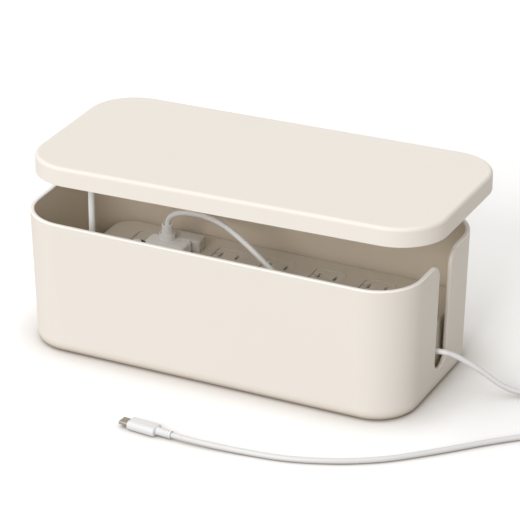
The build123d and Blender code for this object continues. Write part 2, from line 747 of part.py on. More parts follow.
def make_strip_base():
    """Lower half of the strip's housing, with screw posts and posts for the contact bars."""
    with BuildPart() as strip_base:
        with BuildSketch(Plane.XY.offset(strip_bottom)):
            with Locations((strip_x, strip_y)):
                strip_outline(0)
        extrude(amount=STRIP_BASE_HEIGHT)
        fillet(strip_base.faces().sort_by(Axis.Z)[0].edges(), STRIP_BASE_ROUND)
        with BuildSketch(Plane.XY.offset(strip_bottom + STRIP_WALL)):
            with Locations((strip_x, strip_y)):
                strip_outline(STRIP_WALL)
        extrude(amount=STRIP_BASE_HEIGHT, mode=Mode.SUBTRACT)
        with BuildSketch(Plane.XY.offset(strip_bottom + STRIP_WALL)):
            with Locations(*strip_screw_spots):
                Circle(STRIP_POST_RADIUS)
        extrude(amount=STRIP_BASE_HEIGHT - STRIP_WALL)
        with BuildSketch(Plane.XY.offset(strip_bottom + STRIP_WALL)):
            with Locations(*bar_post_spots()):
                Rectangle(BAR_POST_LENGTH, BAR_POST_THICK)
        extrude(amount=BAR_BOTTOM - strip_bottom - STRIP_WALL)
        with BuildSketch(Plane.XY.offset(strip_bottom)):
            with Locations(*strip_screw_spots):
                Circle(STRIP_SCREW_RADIUS + SCREW_HOLE_GAP)
        extrude(amount=STRIP_BASE_HEIGHT, mode=Mode.SUBTRACT)
        with BuildSketch(Plane.XY.offset(strip_bottom)):
            with Locations(*strip_screw_spots):
                Circle(STRIP_SCREW_HEAD_RADIUS + SCREW_HOLE_GAP)
        extrude(amount=STRIP_SCREW_RECESS, mode=Mode.SUBTRACT)
        with BuildSketch(gland_plane(strip_front)):
            Circle(GLAND_NECK + FACE_GAP)
        extrude(amount=STRIP_WALL, mode=Mode.SUBTRACT)
    save(strip_base, "strip_base")


def strip_outline(inset):
    """Outline of the strip's housing, set in by a wall's thickness for its hollow. The back corners are the
    wider ones, to clear the tub's, and the right one most, because that end lies closer to it."""
    length = strip_length - 2 * inset
    width = STRIP_WIDTH - 2 * inset
    RectangleRounded(length, width, STRIP_BACK_CORNER - inset)
    with Locations((-length / 2, 0)):
        RectangleRounded(length / 2, width, STRIP_LEFT_CORNER - inset, align=(Align.MIN, Align.CENTER))
    with Locations((0, inset - STRIP_WIDTH / 2)):
        RectangleRounded(
            length,
            STRIP_WIDTH - STRIP_BACK_CORNER - inset,
            STRIP_FRONT_CORNER - inset,
            align=(Align.CENTER, Align.MIN),
        )


def gland_plane(y):
    """Plane across the gland, centred on the joint of the housing's halves and facing into the strip."""
    return Plane(origin=(gland_x, y, strip_split), x_dir=(1, 0, 0), z_dir=(0, 1, 0))


def make_strip_cover():
    """Upper half of the strip's housing, with windows for the inserts and the switch."""
    window_length = face_length + 2 * FACE_GAP
    window_width = FACE_WIDTH + 2 * FACE_GAP
    breaker_window = BREAKER_FACE_LENGTH + 2 * FACE_GAP
    cutout_length = switch_length + 2 * SWITCH_CUTOUT_GAP
    cutout_width = switch_width + 2 * SWITCH_CUTOUT_GAP
    with BuildPart() as strip_cover:
        with BuildSketch(Plane.XY.offset(strip_split)):
            with Locations((strip_x, strip_y)):
                strip_outline(0)
        extrude(amount=strip_top - strip_split)
        fillet(strip_cover.faces().sort_by(Axis.Z)[-1].edges(), STRIP_TOP_ROUND)
        with BuildSketch(Plane.XY.offset(strip_split)):
            with Locations((strip_x, strip_y)):
                strip_outline(STRIP_WALL)
        extrude(amount=strip_ceiling - strip_split, mode=Mode.SUBTRACT)
        with BuildSketch(Plane.XY.offset(strip_split)):
            with Locations(*strip_screw_spots):
                Circle(STRIP_POST_RADIUS)
        extrude(amount=strip_ceiling - strip_split)
        with BuildSketch(Plane.XY.offset(strip_split)):
            with Locations(*strip_screw_spots):
                Circle(STRIP_SCREW_RADIUS + SCREW_PILOT_GAP)
        extrude(amount=STRIP_SCREW_LENGTH - STRIP_BASE_HEIGHT + STRIP_SCREW_RECESS, mode=Mode.SUBTRACT)
        with BuildSketch(Plane.XY.offset(strip_ceiling)):
            with Locations(*[(x, face_y) for x in outlet_xs]):
                RectangleRounded(window_length, window_width, FACE_CORNER + FACE_GAP)
            with Locations((breaker_x, breaker_face_y)):
                RectangleRounded(breaker_window, BREAKER_FACE_WIDTH + 2 * FACE_GAP, FACE_CORNER + FACE_GAP)
            with Locations((switch_x, switch_y)):
                Rectangle(cutout_length, cutout_width)
        extrude(amount=STRIP_WALL, mode=Mode.SUBTRACT)
        with BuildSketch(gland_plane(strip_front)):
            Circle(GLAND_NECK + FACE_GAP)
        extrude(amount=STRIP_WALL, mode=Mode.SUBTRACT)
    save(strip_cover, "strip_cover")


def make_outlet_faces():
    """Outlet inserts, each with a T-shaped neutral slot, a line slot and an earth hole."""
    with BuildPart() as outlet_faces:
        with BuildSketch(Plane.XY.offset(strip_ceiling)):
            with Locations(*[(x, face_y) for x in outlet_xs]):
                RectangleRounded(face_length, FACE_WIDTH, FACE_CORNER)
        extrude(amount=face_top - strip_ceiling)
        tops = outlet_faces.faces().filter_by(Plane.XY).group_by(Axis.Z)[-1]
        chamfer(tops.edges(), FACE_CHAMFER)
        with BuildSketch(Plane.XY.offset(strip_ceiling)):
            with Locations(*[(x, face_y) for x in outlet_xs]):
                RectangleRounded(face_length + 2 * FACE_FLANGE, FACE_WIDTH + 2 * FACE_FLANGE, FACE_CORNER)
        extrude(amount=-FACE_FLANGE_THICK)
        with BuildSketch(Plane.XY.offset(face_top)):
            with Locations(*[(x - BLADE_SPACING / 2, blade_y) for x in outlet_xs]):
                Rectangle(BLADE_SLOT_WIDTH, BLADE_SLOT_LENGTH)
                Rectangle(CROSS_SLOT_LENGTH, BLADE_SLOT_WIDTH, align=(Align.MAX, Align.CENTER))
            with Locations(*[(x + BLADE_SPACING / 2, blade_y) for x in outlet_xs]):
                Rectangle(BLADE_SLOT_WIDTH, BLADE_SLOT_LENGTH)
            with Locations(*[(x, earth_y) for x in outlet_xs]):
                Circle(EARTH_HOLE_RADIUS)
        extrude(amount=-(face_top - strip_ceiling + FACE_FLANGE_THICK), mode=Mode.SUBTRACT)
    save(outlet_faces, "outlet_faces")


def make_breaker_face():
    """Narrow insert at the left of the outlets that carries the breaker."""
    with BuildPart() as breaker_face:
        with BuildSketch(Plane.XY.offset(strip_ceiling)):
            with Locations((breaker_x, breaker_face_y)):
                RectangleRounded(BREAKER_FACE_LENGTH, BREAKER_FACE_WIDTH, FACE_CORNER)
        extrude(amount=face_top - strip_ceiling)
        chamfer(breaker_face.faces().sort_by(Axis.Z)[-1].edges(), FACE_CHAMFER)
        with BuildSketch(Plane.XY.offset(strip_ceiling)):
            with Locations((breaker_x, breaker_face_y)):
                flange_width = BREAKER_FACE_WIDTH + 2 * FACE_FLANGE
                RectangleRounded(BREAKER_FACE_LENGTH + 2 * FACE_FLANGE, flange_width, FACE_CORNER)
        extrude(amount=-FACE_FLANGE_THICK)
        with BuildSketch(Plane.XY.offset(face_top)):
            with Locations((breaker_x, breaker_y)):
                Circle(BREAKER_RADIUS + FACE_GAP)
        extrude(amount=-(face_top - strip_ceiling + FACE_FLANGE_THICK), mode=Mode.SUBTRACT)
    save(breaker_face, "breaker_face")


def make_breaker_body():
    """Round body of the thermal breaker, hung from its collar on the insert."""
    with BuildPart() as breaker_body:
        with BuildSketch(Plane.XY.offset(face_top)):
            with Locations((breaker_x, breaker_y)):
                Circle(BREAKER_COLLAR_RADIUS)
        extrude(amount=BREAKER_COLLAR_HEIGHT)
        with BuildSketch(Plane.XY.offset(face_top)):
            with Locations((breaker_x, breaker_y)):
                Circle(BREAKER_RADIUS)
        extrude(amount=-BREAKER_DEPTH)
        with BuildSketch(Plane.XY.offset(button_bottom - BUTTON_TRAVEL - STOP_GAP)):
            with Locations((breaker_x, breaker_y)):
                Circle(BUTTON_RADIUS + BUTTON_GAP)
        extrude(amount=BUTTON_LENGTH + BUTTON_TRAVEL, mode=Mode.SUBTRACT)
    save(breaker_body, "breaker_body")


def make_breaker_button():
    """Reset button of the breaker."""
    with BuildPart() as breaker_button:
        with BuildSketch(Plane.XY.offset(button_bottom)):
            with Locations((breaker_x, breaker_y)):
                Circle(BUTTON_RADIUS)
        extrude(amount=BUTTON_LENGTH)
        fillet(breaker_button.faces().sort_by(Axis.Z)[-1].edges(), FACE_CHAMFER)
    save(breaker_button, "breaker_button")


def make_blade_bar(name, bar_y, blade_shift):
    """Bar with a pair of spring leaves for one blade of each outlet."""
    blade_xs = [x + blade_shift for x in outlet_xs]
    end_margin = BAR_POST_LENGTH / 2
    length = blade_xs[-1] - blade_xs[0] + 2 * end_margin
    towards_blade = 1 if blade_y > bar_y else -1
    leaf_end = blade_y + towards_blade * BLADE_WIDTH / 2
    leaf_offset = BLADE_THICK / 2 + CLIP_GAP + CLIP_LEAF / 2
    with BuildPart() as bar:
        with BuildSketch(Plane.XY.offset(BAR_BOTTOM)):
            with Locations(((blade_xs[0] + blade_xs[-1]) / 2, bar_y)):
                Rectangle(length, BAR_THICK)
        extrude(amount=BAR_HEIGHT)
        with BuildSketch(Plane.XY.offset(BAR_BOTTOM)):
            for x in blade_xs:
                with Locations((x - leaf_offset, (bar_y + leaf_end) / 2), (x + leaf_offset, (bar_y + leaf_end) / 2)):
                    Rectangle(CLIP_LEAF, abs(leaf_end - bar_y))
        extrude(amount=CLIP_TOP - BAR_BOTTOM)
    save(bar, name)


def make_earth_bar():
    """Bar with a tube for the earth pin of each outlet."""
    tube_radius = EARTH_HOLE_RADIUS + EARTH_TUBE_WALL
    with BuildPart() as earth_bar:
        with BuildSketch(Plane.XY.offset(BAR_BOTTOM)):
            with Locations(((outlet_xs[0] + outlet_xs[-1]) / 2, earth_bar_y)):
                Rectangle(outlet_xs[-1] - outlet_xs[0] + BAR_POST_LENGTH, BAR_THICK)
            with Locations(*[(x, (earth_bar_y + earth_y) / 2) for x in outlet_xs]):
                Rectangle(BAR_THICK, earth_y - earth_bar_y)
        extrude(amount=BAR_HEIGHT)
        with BuildSketch(Plane.XY.offset(BAR_BOTTOM)):
            with Locations(*[(x, earth_y) for x in outlet_xs]):
                Circle(tube_radius)
        extrude(amount=CLIP_TOP - BAR_BOTTOM)
        with BuildSketch(Plane.XY.offset(BAR_BOTTOM)):
            with Locations(*[(x, earth_y) for x in outlet_xs]):
                Circle(EARTH_HOLE_RADIUS)
        extrude(amount=CLIP_TOP - BAR_BOTTOM, mode=Mode.SUBTRACT)
    save(earth_bar, "earth_bar")


def make_strip_screws():
    """Screws that hold the strip's two halves together, from below."""
    seat = strip_bottom + STRIP_SCREW_RECESS
    with BuildPart() as strip_screws:
        for radius, height in (
            (STRIP_SCREW_HEAD_RADIUS, -STRIP_SCREW_HEAD_HEIGHT),
            (STRIP_SCREW_RADIUS, STRIP_SCREW_LENGTH),
        ):
            with BuildSketch(Plane.XY.offset(seat)):
                with Locations(*strip_screw_spots):
                    Circle(radius)
            extrude(amount=height)
    save(strip_screws, "strip_screws")


def make_strip_pads():
    """Pads between the strip and the tub's floor."""
    inset = STRIP_BACK_CORNER + STRIP_PAD_LENGTH
    with BuildPart() as strip_pads:
        with BuildSketch(Plane.XY.offset(floor_top)):
            with Locations((strip_x, strip_y)):
                with GridLocations(strip_length - 2 * inset, STRIP_WIDTH - STRIP_BACK_CORNER, 2, 2):
                    Rectangle(STRIP_PAD_LENGTH, STRIP_PAD_WIDTH)
        extrude(amount=STRIP_PAD_THICK)
    save(strip_pads, "strip_pads")


def make_mains_gland():
    """Strain relief for the strip's own cord: an inner flange, an outer flange and a ribbed boot."""
    rib_pitch = GLAND_BOOT_LENGTH / GLAND_RIBS
    outer_flange = strip_front - GLAND_FLANGE_THICK
    discs = [
        (GLAND_FLANGE, strip_front + STRIP_WALL, GLAND_FLANGE_THICK),
        (GLAND_NECK, strip_front, STRIP_WALL),
        (GLAND_FLANGE, outer_flange, GLAND_FLANGE_THICK),
    ]
    for rib in range(GLAND_RIBS):
        radius = GLAND_NECK - (GLAND_NECK - GLAND_BOOT_TIP) * rib / GLAND_RIBS
        rib_start = outer_flange - (rib + 1) * rib_pitch
        discs.append((radius, rib_start, rib_pitch / 2))
        discs.append((radius - GLAND_RIB, rib_start + rib_pitch / 2, rib_pitch / 2))
    with BuildPart() as mains_gland:
        for radius, start, length in discs:
            with BuildSketch(gland_plane(start)):
                Circle(radius)
            extrude(amount=length)
        with BuildSketch(gland_plane(outer_flange - GLAND_BOOT_LENGTH)):
            Circle(GLAND_BORE)
        extrude(amount=GLAND_BOOT_LENGTH + 2 * GLAND_FLANGE_THICK + STRIP_WALL, mode=Mode.SUBTRACT)
    save(mains_gland, "mains_gland")


# ---------------------------------------------------------------- rocker switch


def make_switch_frame():
    """Housing of the switch with its bezel, open above the rocker."""
    with BuildPart() as switch_frame:
        with BuildSketch(Plane.XY.offset(switch_bottom)):
            with Locations((switch_x, switch_y)):
                Rectangle(switch_length, switch_width)
        extrude(amount=SWITCH_DEPTH)
        with BuildSketch(Plane.XY.offset(strip_top)):
            with Locations((switch_x, switch_y)):
                RectangleRounded(switch_length + 2 * BEZEL_BAND, switch_width + 2 * BEZEL_BAND, BEZEL_BAND)
        extrude(amount=BEZEL_THICK)
        chamfer(switch_frame.faces().sort_by(Axis.Z)[-1].edges(), FACE_CHAMFER)
        with BuildSketch(Plane.XY.offset(switch_bottom + SWITCH_WALL)):
            with Locations((switch_x, switch_y)):
                Rectangle(switch_room_length, switch_room_width)
        extrude(amount=SWITCH_DEPTH + BEZEL_THICK, mode=Mode.SUBTRACT)
        with BuildSketch(Plane.XZ.offset(-switch_y)):
            with Locations((switch_x, pivot_z)):
                Circle(ROCKER_PIN_RADIUS + ROCKER_PIN_GAP)
        extrude(amount=switch_width, both=True, mode=Mode.SUBTRACT)
    save(switch_frame, "switch_frame")


def make_switch_rocker():
    """Rocker with a shallow V on top and its pivot pins, at rest on its left half."""
    outer = ROCKER_RADIUS * tan(radians(ROCKER_TILT))
    pin_length = switch_width - 2 * ROCKER_PIN_SETBACK
    rocker_plane = Plane(
        origin=(switch_x, switch_y, pivot_z),
        x_dir=(cos(radians(ROCKER_TILT)), 0, sin(radians(ROCKER_TILT))),
        z_dir=(0, -1, 0),
    )
    with BuildPart() as switch_rocker:
        with BuildSketch(rocker_plane):
            Circle(ROCKER_RADIUS)
            with BuildLine():
                Polyline(
                    (-ROCKER_RADIUS, -ROCKER_DEPTH),
                    (ROCKER_RADIUS, -ROCKER_DEPTH),
                    (ROCKER_RADIUS, ROCKER_CROWN + outer),
                    (0, ROCKER_CROWN),
                    (-ROCKER_RADIUS, ROCKER_CROWN + outer),
                    close=True,
                )
            make_face(mode=Mode.INTERSECT)
        extrude(amount=ROCKER_WIDTH / 2, both=True)
        with BuildSketch(rocker_plane):
            Circle(ROCKER_PIN_RADIUS)
        extrude(amount=pin_length / 2, both=True)
    save(switch_rocker, "switch_rocker")


def make_switch_terminals():
    """Three flat terminals under the switch."""
    with BuildPart() as switch_terminals:
        with BuildSketch(Plane.XY.offset(switch_bottom)):
            with Locations((switch_x, switch_y)):
                with GridLocations(TERMINAL_PITCH, 0, 3, 1):
                    Rectangle(TERMINAL_THICK, TERMINAL_WIDTH)
        extrude(amount=-TERMINAL_LENGTH)
    save(switch_terminals, "switch_terminals")


# ---------------------------------------------------------------- charger


def charger_half(x, y, length, depth, rounding, open_side):
    """Half of the charger's case, hollow and open at the joint between the halves."""
    with BuildPart() as half:
        with BuildSketch(Plane.XY.offset(charger_bottom)):
            with Locations((x, y)):
                Rectangle(length, depth)
        extrude(amount=CHARGER_HEIGHT)
        ends = half.edges().filter_by(Axis.Z).group_by(Axis.Y)
        fillet(ends[0], CHARGER_CORNER if open_side > 0 else CHARGER_JOINT_ROUND)
        fillet(ends[-1], CHARGER_JOINT_ROUND if open_side > 0 else CHARGER_CORNER)
        fillet(half.faces().sort_by(Axis.Z)[-1].edges(), rounding)
        with BuildSketch(Plane.XY.offset(charger_bottom + CHARGER_WALL)):
            with Locations((charger_room_x, y + open_side * CHARGER_WALL)):
                Rectangle(charger_room_length, depth)
        extrude(amount=CHARGER_HEIGHT - CHARGER_WALL - CHARGER_ROOF, mode=Mode.SUBTRACT)
    return half.part


def make_charger_front():
    """Front half of the charger's case, with the cable's hole."""
    y = charger_joint_y - CHARGER_FRONT_DEPTH / 2
    case = charger_half(charger_front_x, y, CHARGER_FRONT_LENGTH, CHARGER_FRONT_DEPTH, CHARGER_FRONT_ROUND, 1)
    with BuildPart() as charger_front:
        add(case)
        with BuildSketch(Plane.XY.offset(charger_top)):
            with Locations((boot_x, boot_y)):
                Circle(CABLE_RADIUS + CABLE_GAP)
        extrude(amount=-2 * CHARGER_WALL, mode=Mode.SUBTRACT)
    save(charger_front, "charger_front")


def make_charger_rear():
    """Rear half of the charger's case, with slots for the blades."""
    y = charger_joint_y + CHARGER_REAR_DEPTH / 2
    case = charger_half(charger_rear_x, y, CHARGER_REAR_LENGTH, CHARGER_REAR_DEPTH, CHARGER_REAR_ROUND, -1)
    with BuildPart() as charger_rear:
        add(case)
        with BuildSketch(Plane.XY.offset(charger_bottom)):
            with Locations((charger_x, blade_y)):
                with GridLocations(BLADE_SPACING, 0, 2, 1):
                    Rectangle(BLADE_THICK + 2 * PRESS_GAP, BLADE_WIDTH + 2 * PRESS_GAP)
        extrude(amount=CHARGER_WALL, mode=Mode.SUBTRACT)
    save(charger_rear, "charger_rear")


def make_charger_blades():
    """Line and neutral blades, from the circuit board down into the outlet's clips."""
    with BuildPart() as charger_blades:
        with BuildSketch(Plane.XY.offset(blade_bottom)):
            with Locations((charger_x, blade_y)):
                with GridLocations(BLADE_SPACING, 0, 2, 1):
                    Rectangle(BLADE_THICK, BLADE_WIDTH)
        extrude(amount=board_bottom - blade_bottom)
    save(charger_blades, "charger_blades")


def make_charger_board():
    """Circuit board with a terminal under the cable, a transformer and a capacitor."""
    front = charger_front_y + CHARGER_WALL + BOARD_MARGIN
    back = charger_joint_y + CHARGER_REAR_DEPTH - CHARGER_WALL - BOARD_MARGIN
    room = charger_top - CHARGER_ROOF - board_top
    with BuildPart() as charger_board:
        with BuildSketch(Plane.XY.offset(board_bottom)):
            with Locations((charger_room_x, (front + back) / 2)):
                Rectangle(charger_room_length - 2 * PANEL_GAP, back - front)
        extrude(amount=BOARD_THICK)
        with BuildSketch(Plane.XY.offset(board_top)):
            with Locations((boot_x, boot_y)):
                Rectangle(COLLAR_RADIUS, COLLAR_RADIUS)
        extrude(amount=cable_start - board_top)
        with BuildSketch(Plane.XY.offset(board_top)):
            with Locations((charger_x + CHARGER_FRONT_SHIFT / 2, blade_y - BOARD_MARGIN)):
                Rectangle(BLADE_SPACING, BLADE_WIDTH)
            with Locations((charger_x + BLADE_SPACING / 2, charger_joint_y - BLADE_WIDTH)):
                Circle(BLADE_WIDTH / 2)
        extrude(amount=room - BOARD_MARGIN)
    save(charger_board, "charger_board")


# ---------------------------------------------------------------- boot and cable


def make_boot_collar():
    """Lower, wider stage of the cable boot."""
    with BuildPart() as boot_collar:
        with BuildSketch(Plane.XY.offset(charger_top)):
            with Locations((boot_x, boot_y)):
                Circle(COLLAR_RADIUS)
                Circle(CABLE_RADIUS + CABLE_GAP, mode=Mode.SUBTRACT)
        extrude(amount=COLLAR_HEIGHT)
        with BuildSketch(Plane.XY.offset(boot_sleeve_bottom)):
            with Locations((boot_x, boot_y)):
                Circle(COLLAR_RADIUS - BOOT_WALL)
        extrude(amount=COLLAR_RECESS, mode=Mode.SUBTRACT)
    save(boot_collar, "boot_collar")


def make_boot_sleeve():
    """Upper, tapered stage of the cable boot, open above the cable."""
    with BuildPart() as boot_sleeve:
        with BuildSketch(Plane.XY.offset(boot_sleeve_bottom)):
            with Locations((boot_x, boot_y)):
                Circle(SLEEVE_FOOT_RADIUS)
        with BuildSketch(Plane.XY.offset(boot_sleeve_top)):
            with Locations((boot_x, boot_y)):
                Circle(SLEEVE_TOP_RADIUS)
        loft()
        with BuildSketch(Plane.XY.offset(boot_sleeve_bottom)):
            with Locations((boot_x, boot_y)):
                Circle(CABLE_RADIUS + CABLE_GAP)
        extrude(amount=BOOT_SLEEVE_HEIGHT, mode=Mode.SUBTRACT)
        with BuildSketch(Plane.XY.offset(boot_sleeve_bottom + BOOT_SLEEVE_FLOOR)):
            with Locations((boot_x, boot_y)):
                Circle(BOOT_MOUTH_RADIUS)
        extrude(amount=BOOT_SLEEVE_HEIGHT - BOOT_SLEEVE_FLOOR, mode=Mode.SUBTRACT)
    save(boot_sleeve, "boot_sleeve")


def bend_radii(points):
    """Radius of each bend, so that its arc takes 0.45 of the shorter run beside it."""
    spots = [Vector(*point) for point in points]
    radii = []
    for before, here, after in zip(spots, spots[1:], spots[2:]):
        arriving = here - before
        leaving = after - here
        turn = acos(arriving.normalized().dot(leaving.normalized()))
        radii.append(0.45 * min(arriving.length, leaving.length) / tan(turn / 2))
    return radii


def make_cable():
    """Cable as a tube along straight runs and tangent arcs."""
    start = Vector(*cable_points[0])
    heading = Vector(*cable_points[1]) - start
    with BuildPart() as cable:
        with BuildLine() as route:
            FilletPolyline(*cable_points, radius=bend_radii(cable_points))
        with BuildSketch(Plane(origin=start, z_dir=heading)):
            Circle(CABLE_RADIUS)
        sweep(path=route.wires()[0])
    save(cable, "cable")
    return route.wires()[0].length, cable.part.volume


# ---------------------------------------------------------------- USB-C plug


def plug_plane(distance):
    """Plane across the plug, at a distance from the strain relief's end, facing the tip."""
    heading = Vector(cos(radians(PLUG_HEADING)), sin(radians(PLUG_HEADING)), 0)
    cable_end = Vector(*cable_points[-1])
    return Plane(origin=cable_end + heading * (distance - RELIEF_RECESS), x_dir=(0, 0, 1), z_dir=heading)


def make_usb_relief():
    """Strain relief of the plug, with a recess round the cable's end."""
    with BuildPart() as usb_relief:
        with BuildSketch(plug_plane(0)):
            Circle(RELIEF_TIP_RADIUS)
        with BuildSketch(plug_plane(RELIEF_LENGTH)):
            Circle(RELIEF_FOOT_RADIUS)
        loft()
        with BuildSketch(plug_plane(0)):
            Circle(RELIEF_RECESS_RADIUS)
        extrude(amount=RELIEF_RECESS, mode=Mode.SUBTRACT)
    save(usb_relief, "usb_relief")


def make_usb_overmould():
    """Moulded body of the plug, with the seat of the metal shell."""
    with BuildPart() as usb_overmould:
        with BuildSketch(plug_plane(RELIEF_LENGTH)):
            RectangleRounded(OVERMOULD_THICK, OVERMOULD_WIDTH, OVERMOULD_CORNER)
        extrude(amount=OVERMOULD_LENGTH)
        ends = usb_overmould.faces().filter_by(plug_plane(0))
        fillet(ends.edges(), OVERMOULD_SOFTENING)
        with BuildSketch(plug_plane(RELIEF_LENGTH + OVERMOULD_LENGTH - SHELL_SEAT)):
            RectangleRounded(SHELL_THICK, SHELL_WIDTH, SHELL_CORNER)
        extrude(amount=SHELL_SEAT, mode=Mode.SUBTRACT)
    save(usb_overmould, "usb_overmould")


def make_usb_shell():
    """Metal shell of the plug."""
    room = SHELL_THICK - 2 * SHELL_WALL
    with BuildPart() as usb_shell:
        with BuildSketch(plug_plane(RELIEF_LENGTH + OVERMOULD_LENGTH - SHELL_SEAT)):
            RectangleRounded(SHELL_THICK, SHELL_WIDTH, SHELL_CORNER)
            RectangleRounded(room, SHELL_WIDTH - 2 * SHELL_WALL, SHELL_CORNER - SHELL_WALL, mode=Mode.SUBTRACT)
        extrude(amount=SHELL_SEAT + SHELL_REACH)
    save(usb_shell, "usb_shell")


def make_usb_liner():
    """Contact carrier inside the shell, open at the tip."""
    thick = SHELL_THICK - 2 * SHELL_WALL
    width = SHELL_WIDTH - 2 * SHELL_WALL
    corner = SHELL_CORNER - SHELL_WALL
    length = SHELL_SEAT + SHELL_REACH - LINER_SETBACK
    start = RELIEF_LENGTH + OVERMOULD_LENGTH - SHELL_SEAT
    with BuildPart() as usb_liner:
        with BuildSketch(plug_plane(start)):
            RectangleRounded(thick, width, corner)
        extrude(amount=length)
        with BuildSketch(plug_plane(start + length)):
            Rectangle(thick - 2 * LINER_WALL, width - 2 * LINER_WALL)
        extrude(amount=-LINER_MOUTH_DEPTH, mode=Mode.SUBTRACT)
    save(usb_liner, "usb_liner")


# ---------------------------------------------------------------- all pieces

make_tub()
make_foot_ring()
make_lid_shell()
make_lid_panel()
make_lid_pads()
make_lid_screws()
make_stay_rod()
make_stay_stud()
make_stay_head()
make_stay_stop()
make_stay_track()
make_stay_sleeve()
make_stay_friction_ring()
make_stay_sleeve_screws()
make_strip_base()
make_strip_cover()
make_outlet_faces()
make_breaker_face()
make_breaker_body()
make_breaker_button()
make_blade_bar("line_bar", line_bar_y, BLADE_SPACING / 2)
make_blade_bar("neutral_bar", neutral_bar_y, -BLADE_SPACING / 2)
make_earth_bar()
make_strip_screws()
make_strip_pads()
make_mains_gland()
make_switch_frame()
make_switch_rocker()
make_switch_terminals()
make_charger_front()
make_charger_rear()
make_charger_blades()
make_charger_board()
make_boot_collar()
make_boot_sleeve()
cable_length, cable_volume = make_cable()
make_usb_relief()
make_usb_overmould()
make_usb_shell()
make_usb_liner()

print("cable length", round(cable_length, 1))
print("cable bend radii", [round(radius, 1) for radius in bend_radii(cable_points)])
print("cable volume over section times length", round(cable_volume / (pi * CABLE_RADIUS**2 * cable_length), 4))
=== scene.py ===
"""Cable management box: the looks of the tub, its lid, the power strip, the charger and its cable.

Sizes of pieces are in mm and become metres where a mesh is made. Sizes in shaders are in metres.
"""

from __future__ import annotations

import json
import logging
import math
from collections.abc import Callable
from dataclasses import dataclass, field
from enum import Enum

import bmesh
import bpy
from mathutils import Matrix, Vector

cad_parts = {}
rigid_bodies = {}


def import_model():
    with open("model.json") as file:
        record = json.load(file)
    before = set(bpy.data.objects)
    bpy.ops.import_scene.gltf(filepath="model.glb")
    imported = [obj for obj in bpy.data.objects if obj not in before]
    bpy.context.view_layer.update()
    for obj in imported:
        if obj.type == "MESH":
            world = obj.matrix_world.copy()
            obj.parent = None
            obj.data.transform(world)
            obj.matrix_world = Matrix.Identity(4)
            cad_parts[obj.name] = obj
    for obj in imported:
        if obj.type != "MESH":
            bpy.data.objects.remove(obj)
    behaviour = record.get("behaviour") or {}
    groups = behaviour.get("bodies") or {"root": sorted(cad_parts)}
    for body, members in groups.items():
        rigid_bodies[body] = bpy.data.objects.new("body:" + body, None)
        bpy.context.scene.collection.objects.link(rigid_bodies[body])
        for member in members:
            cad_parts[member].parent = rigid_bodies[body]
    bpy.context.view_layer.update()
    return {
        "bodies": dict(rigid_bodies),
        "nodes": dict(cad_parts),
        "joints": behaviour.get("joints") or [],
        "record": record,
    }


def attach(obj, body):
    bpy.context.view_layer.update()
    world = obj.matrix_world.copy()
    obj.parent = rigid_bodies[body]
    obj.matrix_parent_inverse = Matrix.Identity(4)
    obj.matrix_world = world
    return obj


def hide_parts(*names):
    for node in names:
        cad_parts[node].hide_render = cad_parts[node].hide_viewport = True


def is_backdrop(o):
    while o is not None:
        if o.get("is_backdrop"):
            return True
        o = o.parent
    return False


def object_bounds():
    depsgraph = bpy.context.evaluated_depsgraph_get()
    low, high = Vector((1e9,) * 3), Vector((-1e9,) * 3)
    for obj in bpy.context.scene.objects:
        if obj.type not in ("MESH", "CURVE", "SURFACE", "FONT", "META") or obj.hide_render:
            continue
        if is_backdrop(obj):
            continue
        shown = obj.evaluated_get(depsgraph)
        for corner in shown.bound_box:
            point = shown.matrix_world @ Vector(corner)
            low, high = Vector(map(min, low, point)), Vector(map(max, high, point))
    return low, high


LOG = logging.getLogger("cable_box")
MM = 0.001
MERGE_DISTANCE = 1e-7  # in metres
LEVEL_TOLERANCE = 0.01  # in mm
UPRIGHT_SHARE = 0.99  # of an upright edge's length, how much runs along Z
END_SHARE = 0.9  # of an end face's normal, how much points along Z
SMALL_TURN_STEPS = 40
MIX_FACTOR, MIX_FIRST, MIX_SECOND, MIX_RESULT = 0, 6, 7, 2  # sockets of a Mix node for colours

Colour = tuple[float, float, float]
Point = tuple[float, float, float]


class Body(Enum):
    """The CAD bodies that pieces ride on."""

    TUB = "tub_body"
    STAY = "stay"
    BUTTON = "button"


class Side(Enum):
    """A side of the box, by the sign of its Y."""

    FRONT = -1
    BACK = 1


# ---------------------------------------------------------------- node groups


@dataclass(frozen=True)
class Socket:
    """One socket of a shader node group."""

    name: str
    kind: str
    value: float | None = None


def new_group(name: str, inputs: list[Socket], outputs: list[Socket]) -> bpy.types.NodeTree:
    """Make an empty shader node group.

    Args:
        name: the group's name.
        inputs: sockets that a material sets or links.
        outputs: sockets that the group gives out.

    Returns:
        The node tree, with its group input and output nodes named "in" and "out".
    """
    tree = bpy.data.node_groups.new(name, "ShaderNodeTree")
    for way, sockets in (("INPUT", inputs), ("OUTPUT", outputs)):
        for item in sockets:
            made = tree.interface.new_socket(item.name, in_out=way, socket_type=item.kind)
            if item.value is not None:
                made.default_value = item.value
    tree.nodes.new("NodeGroupInput").name = "in"
    tree.nodes.new("NodeGroupOutput").name = "out"
    return tree


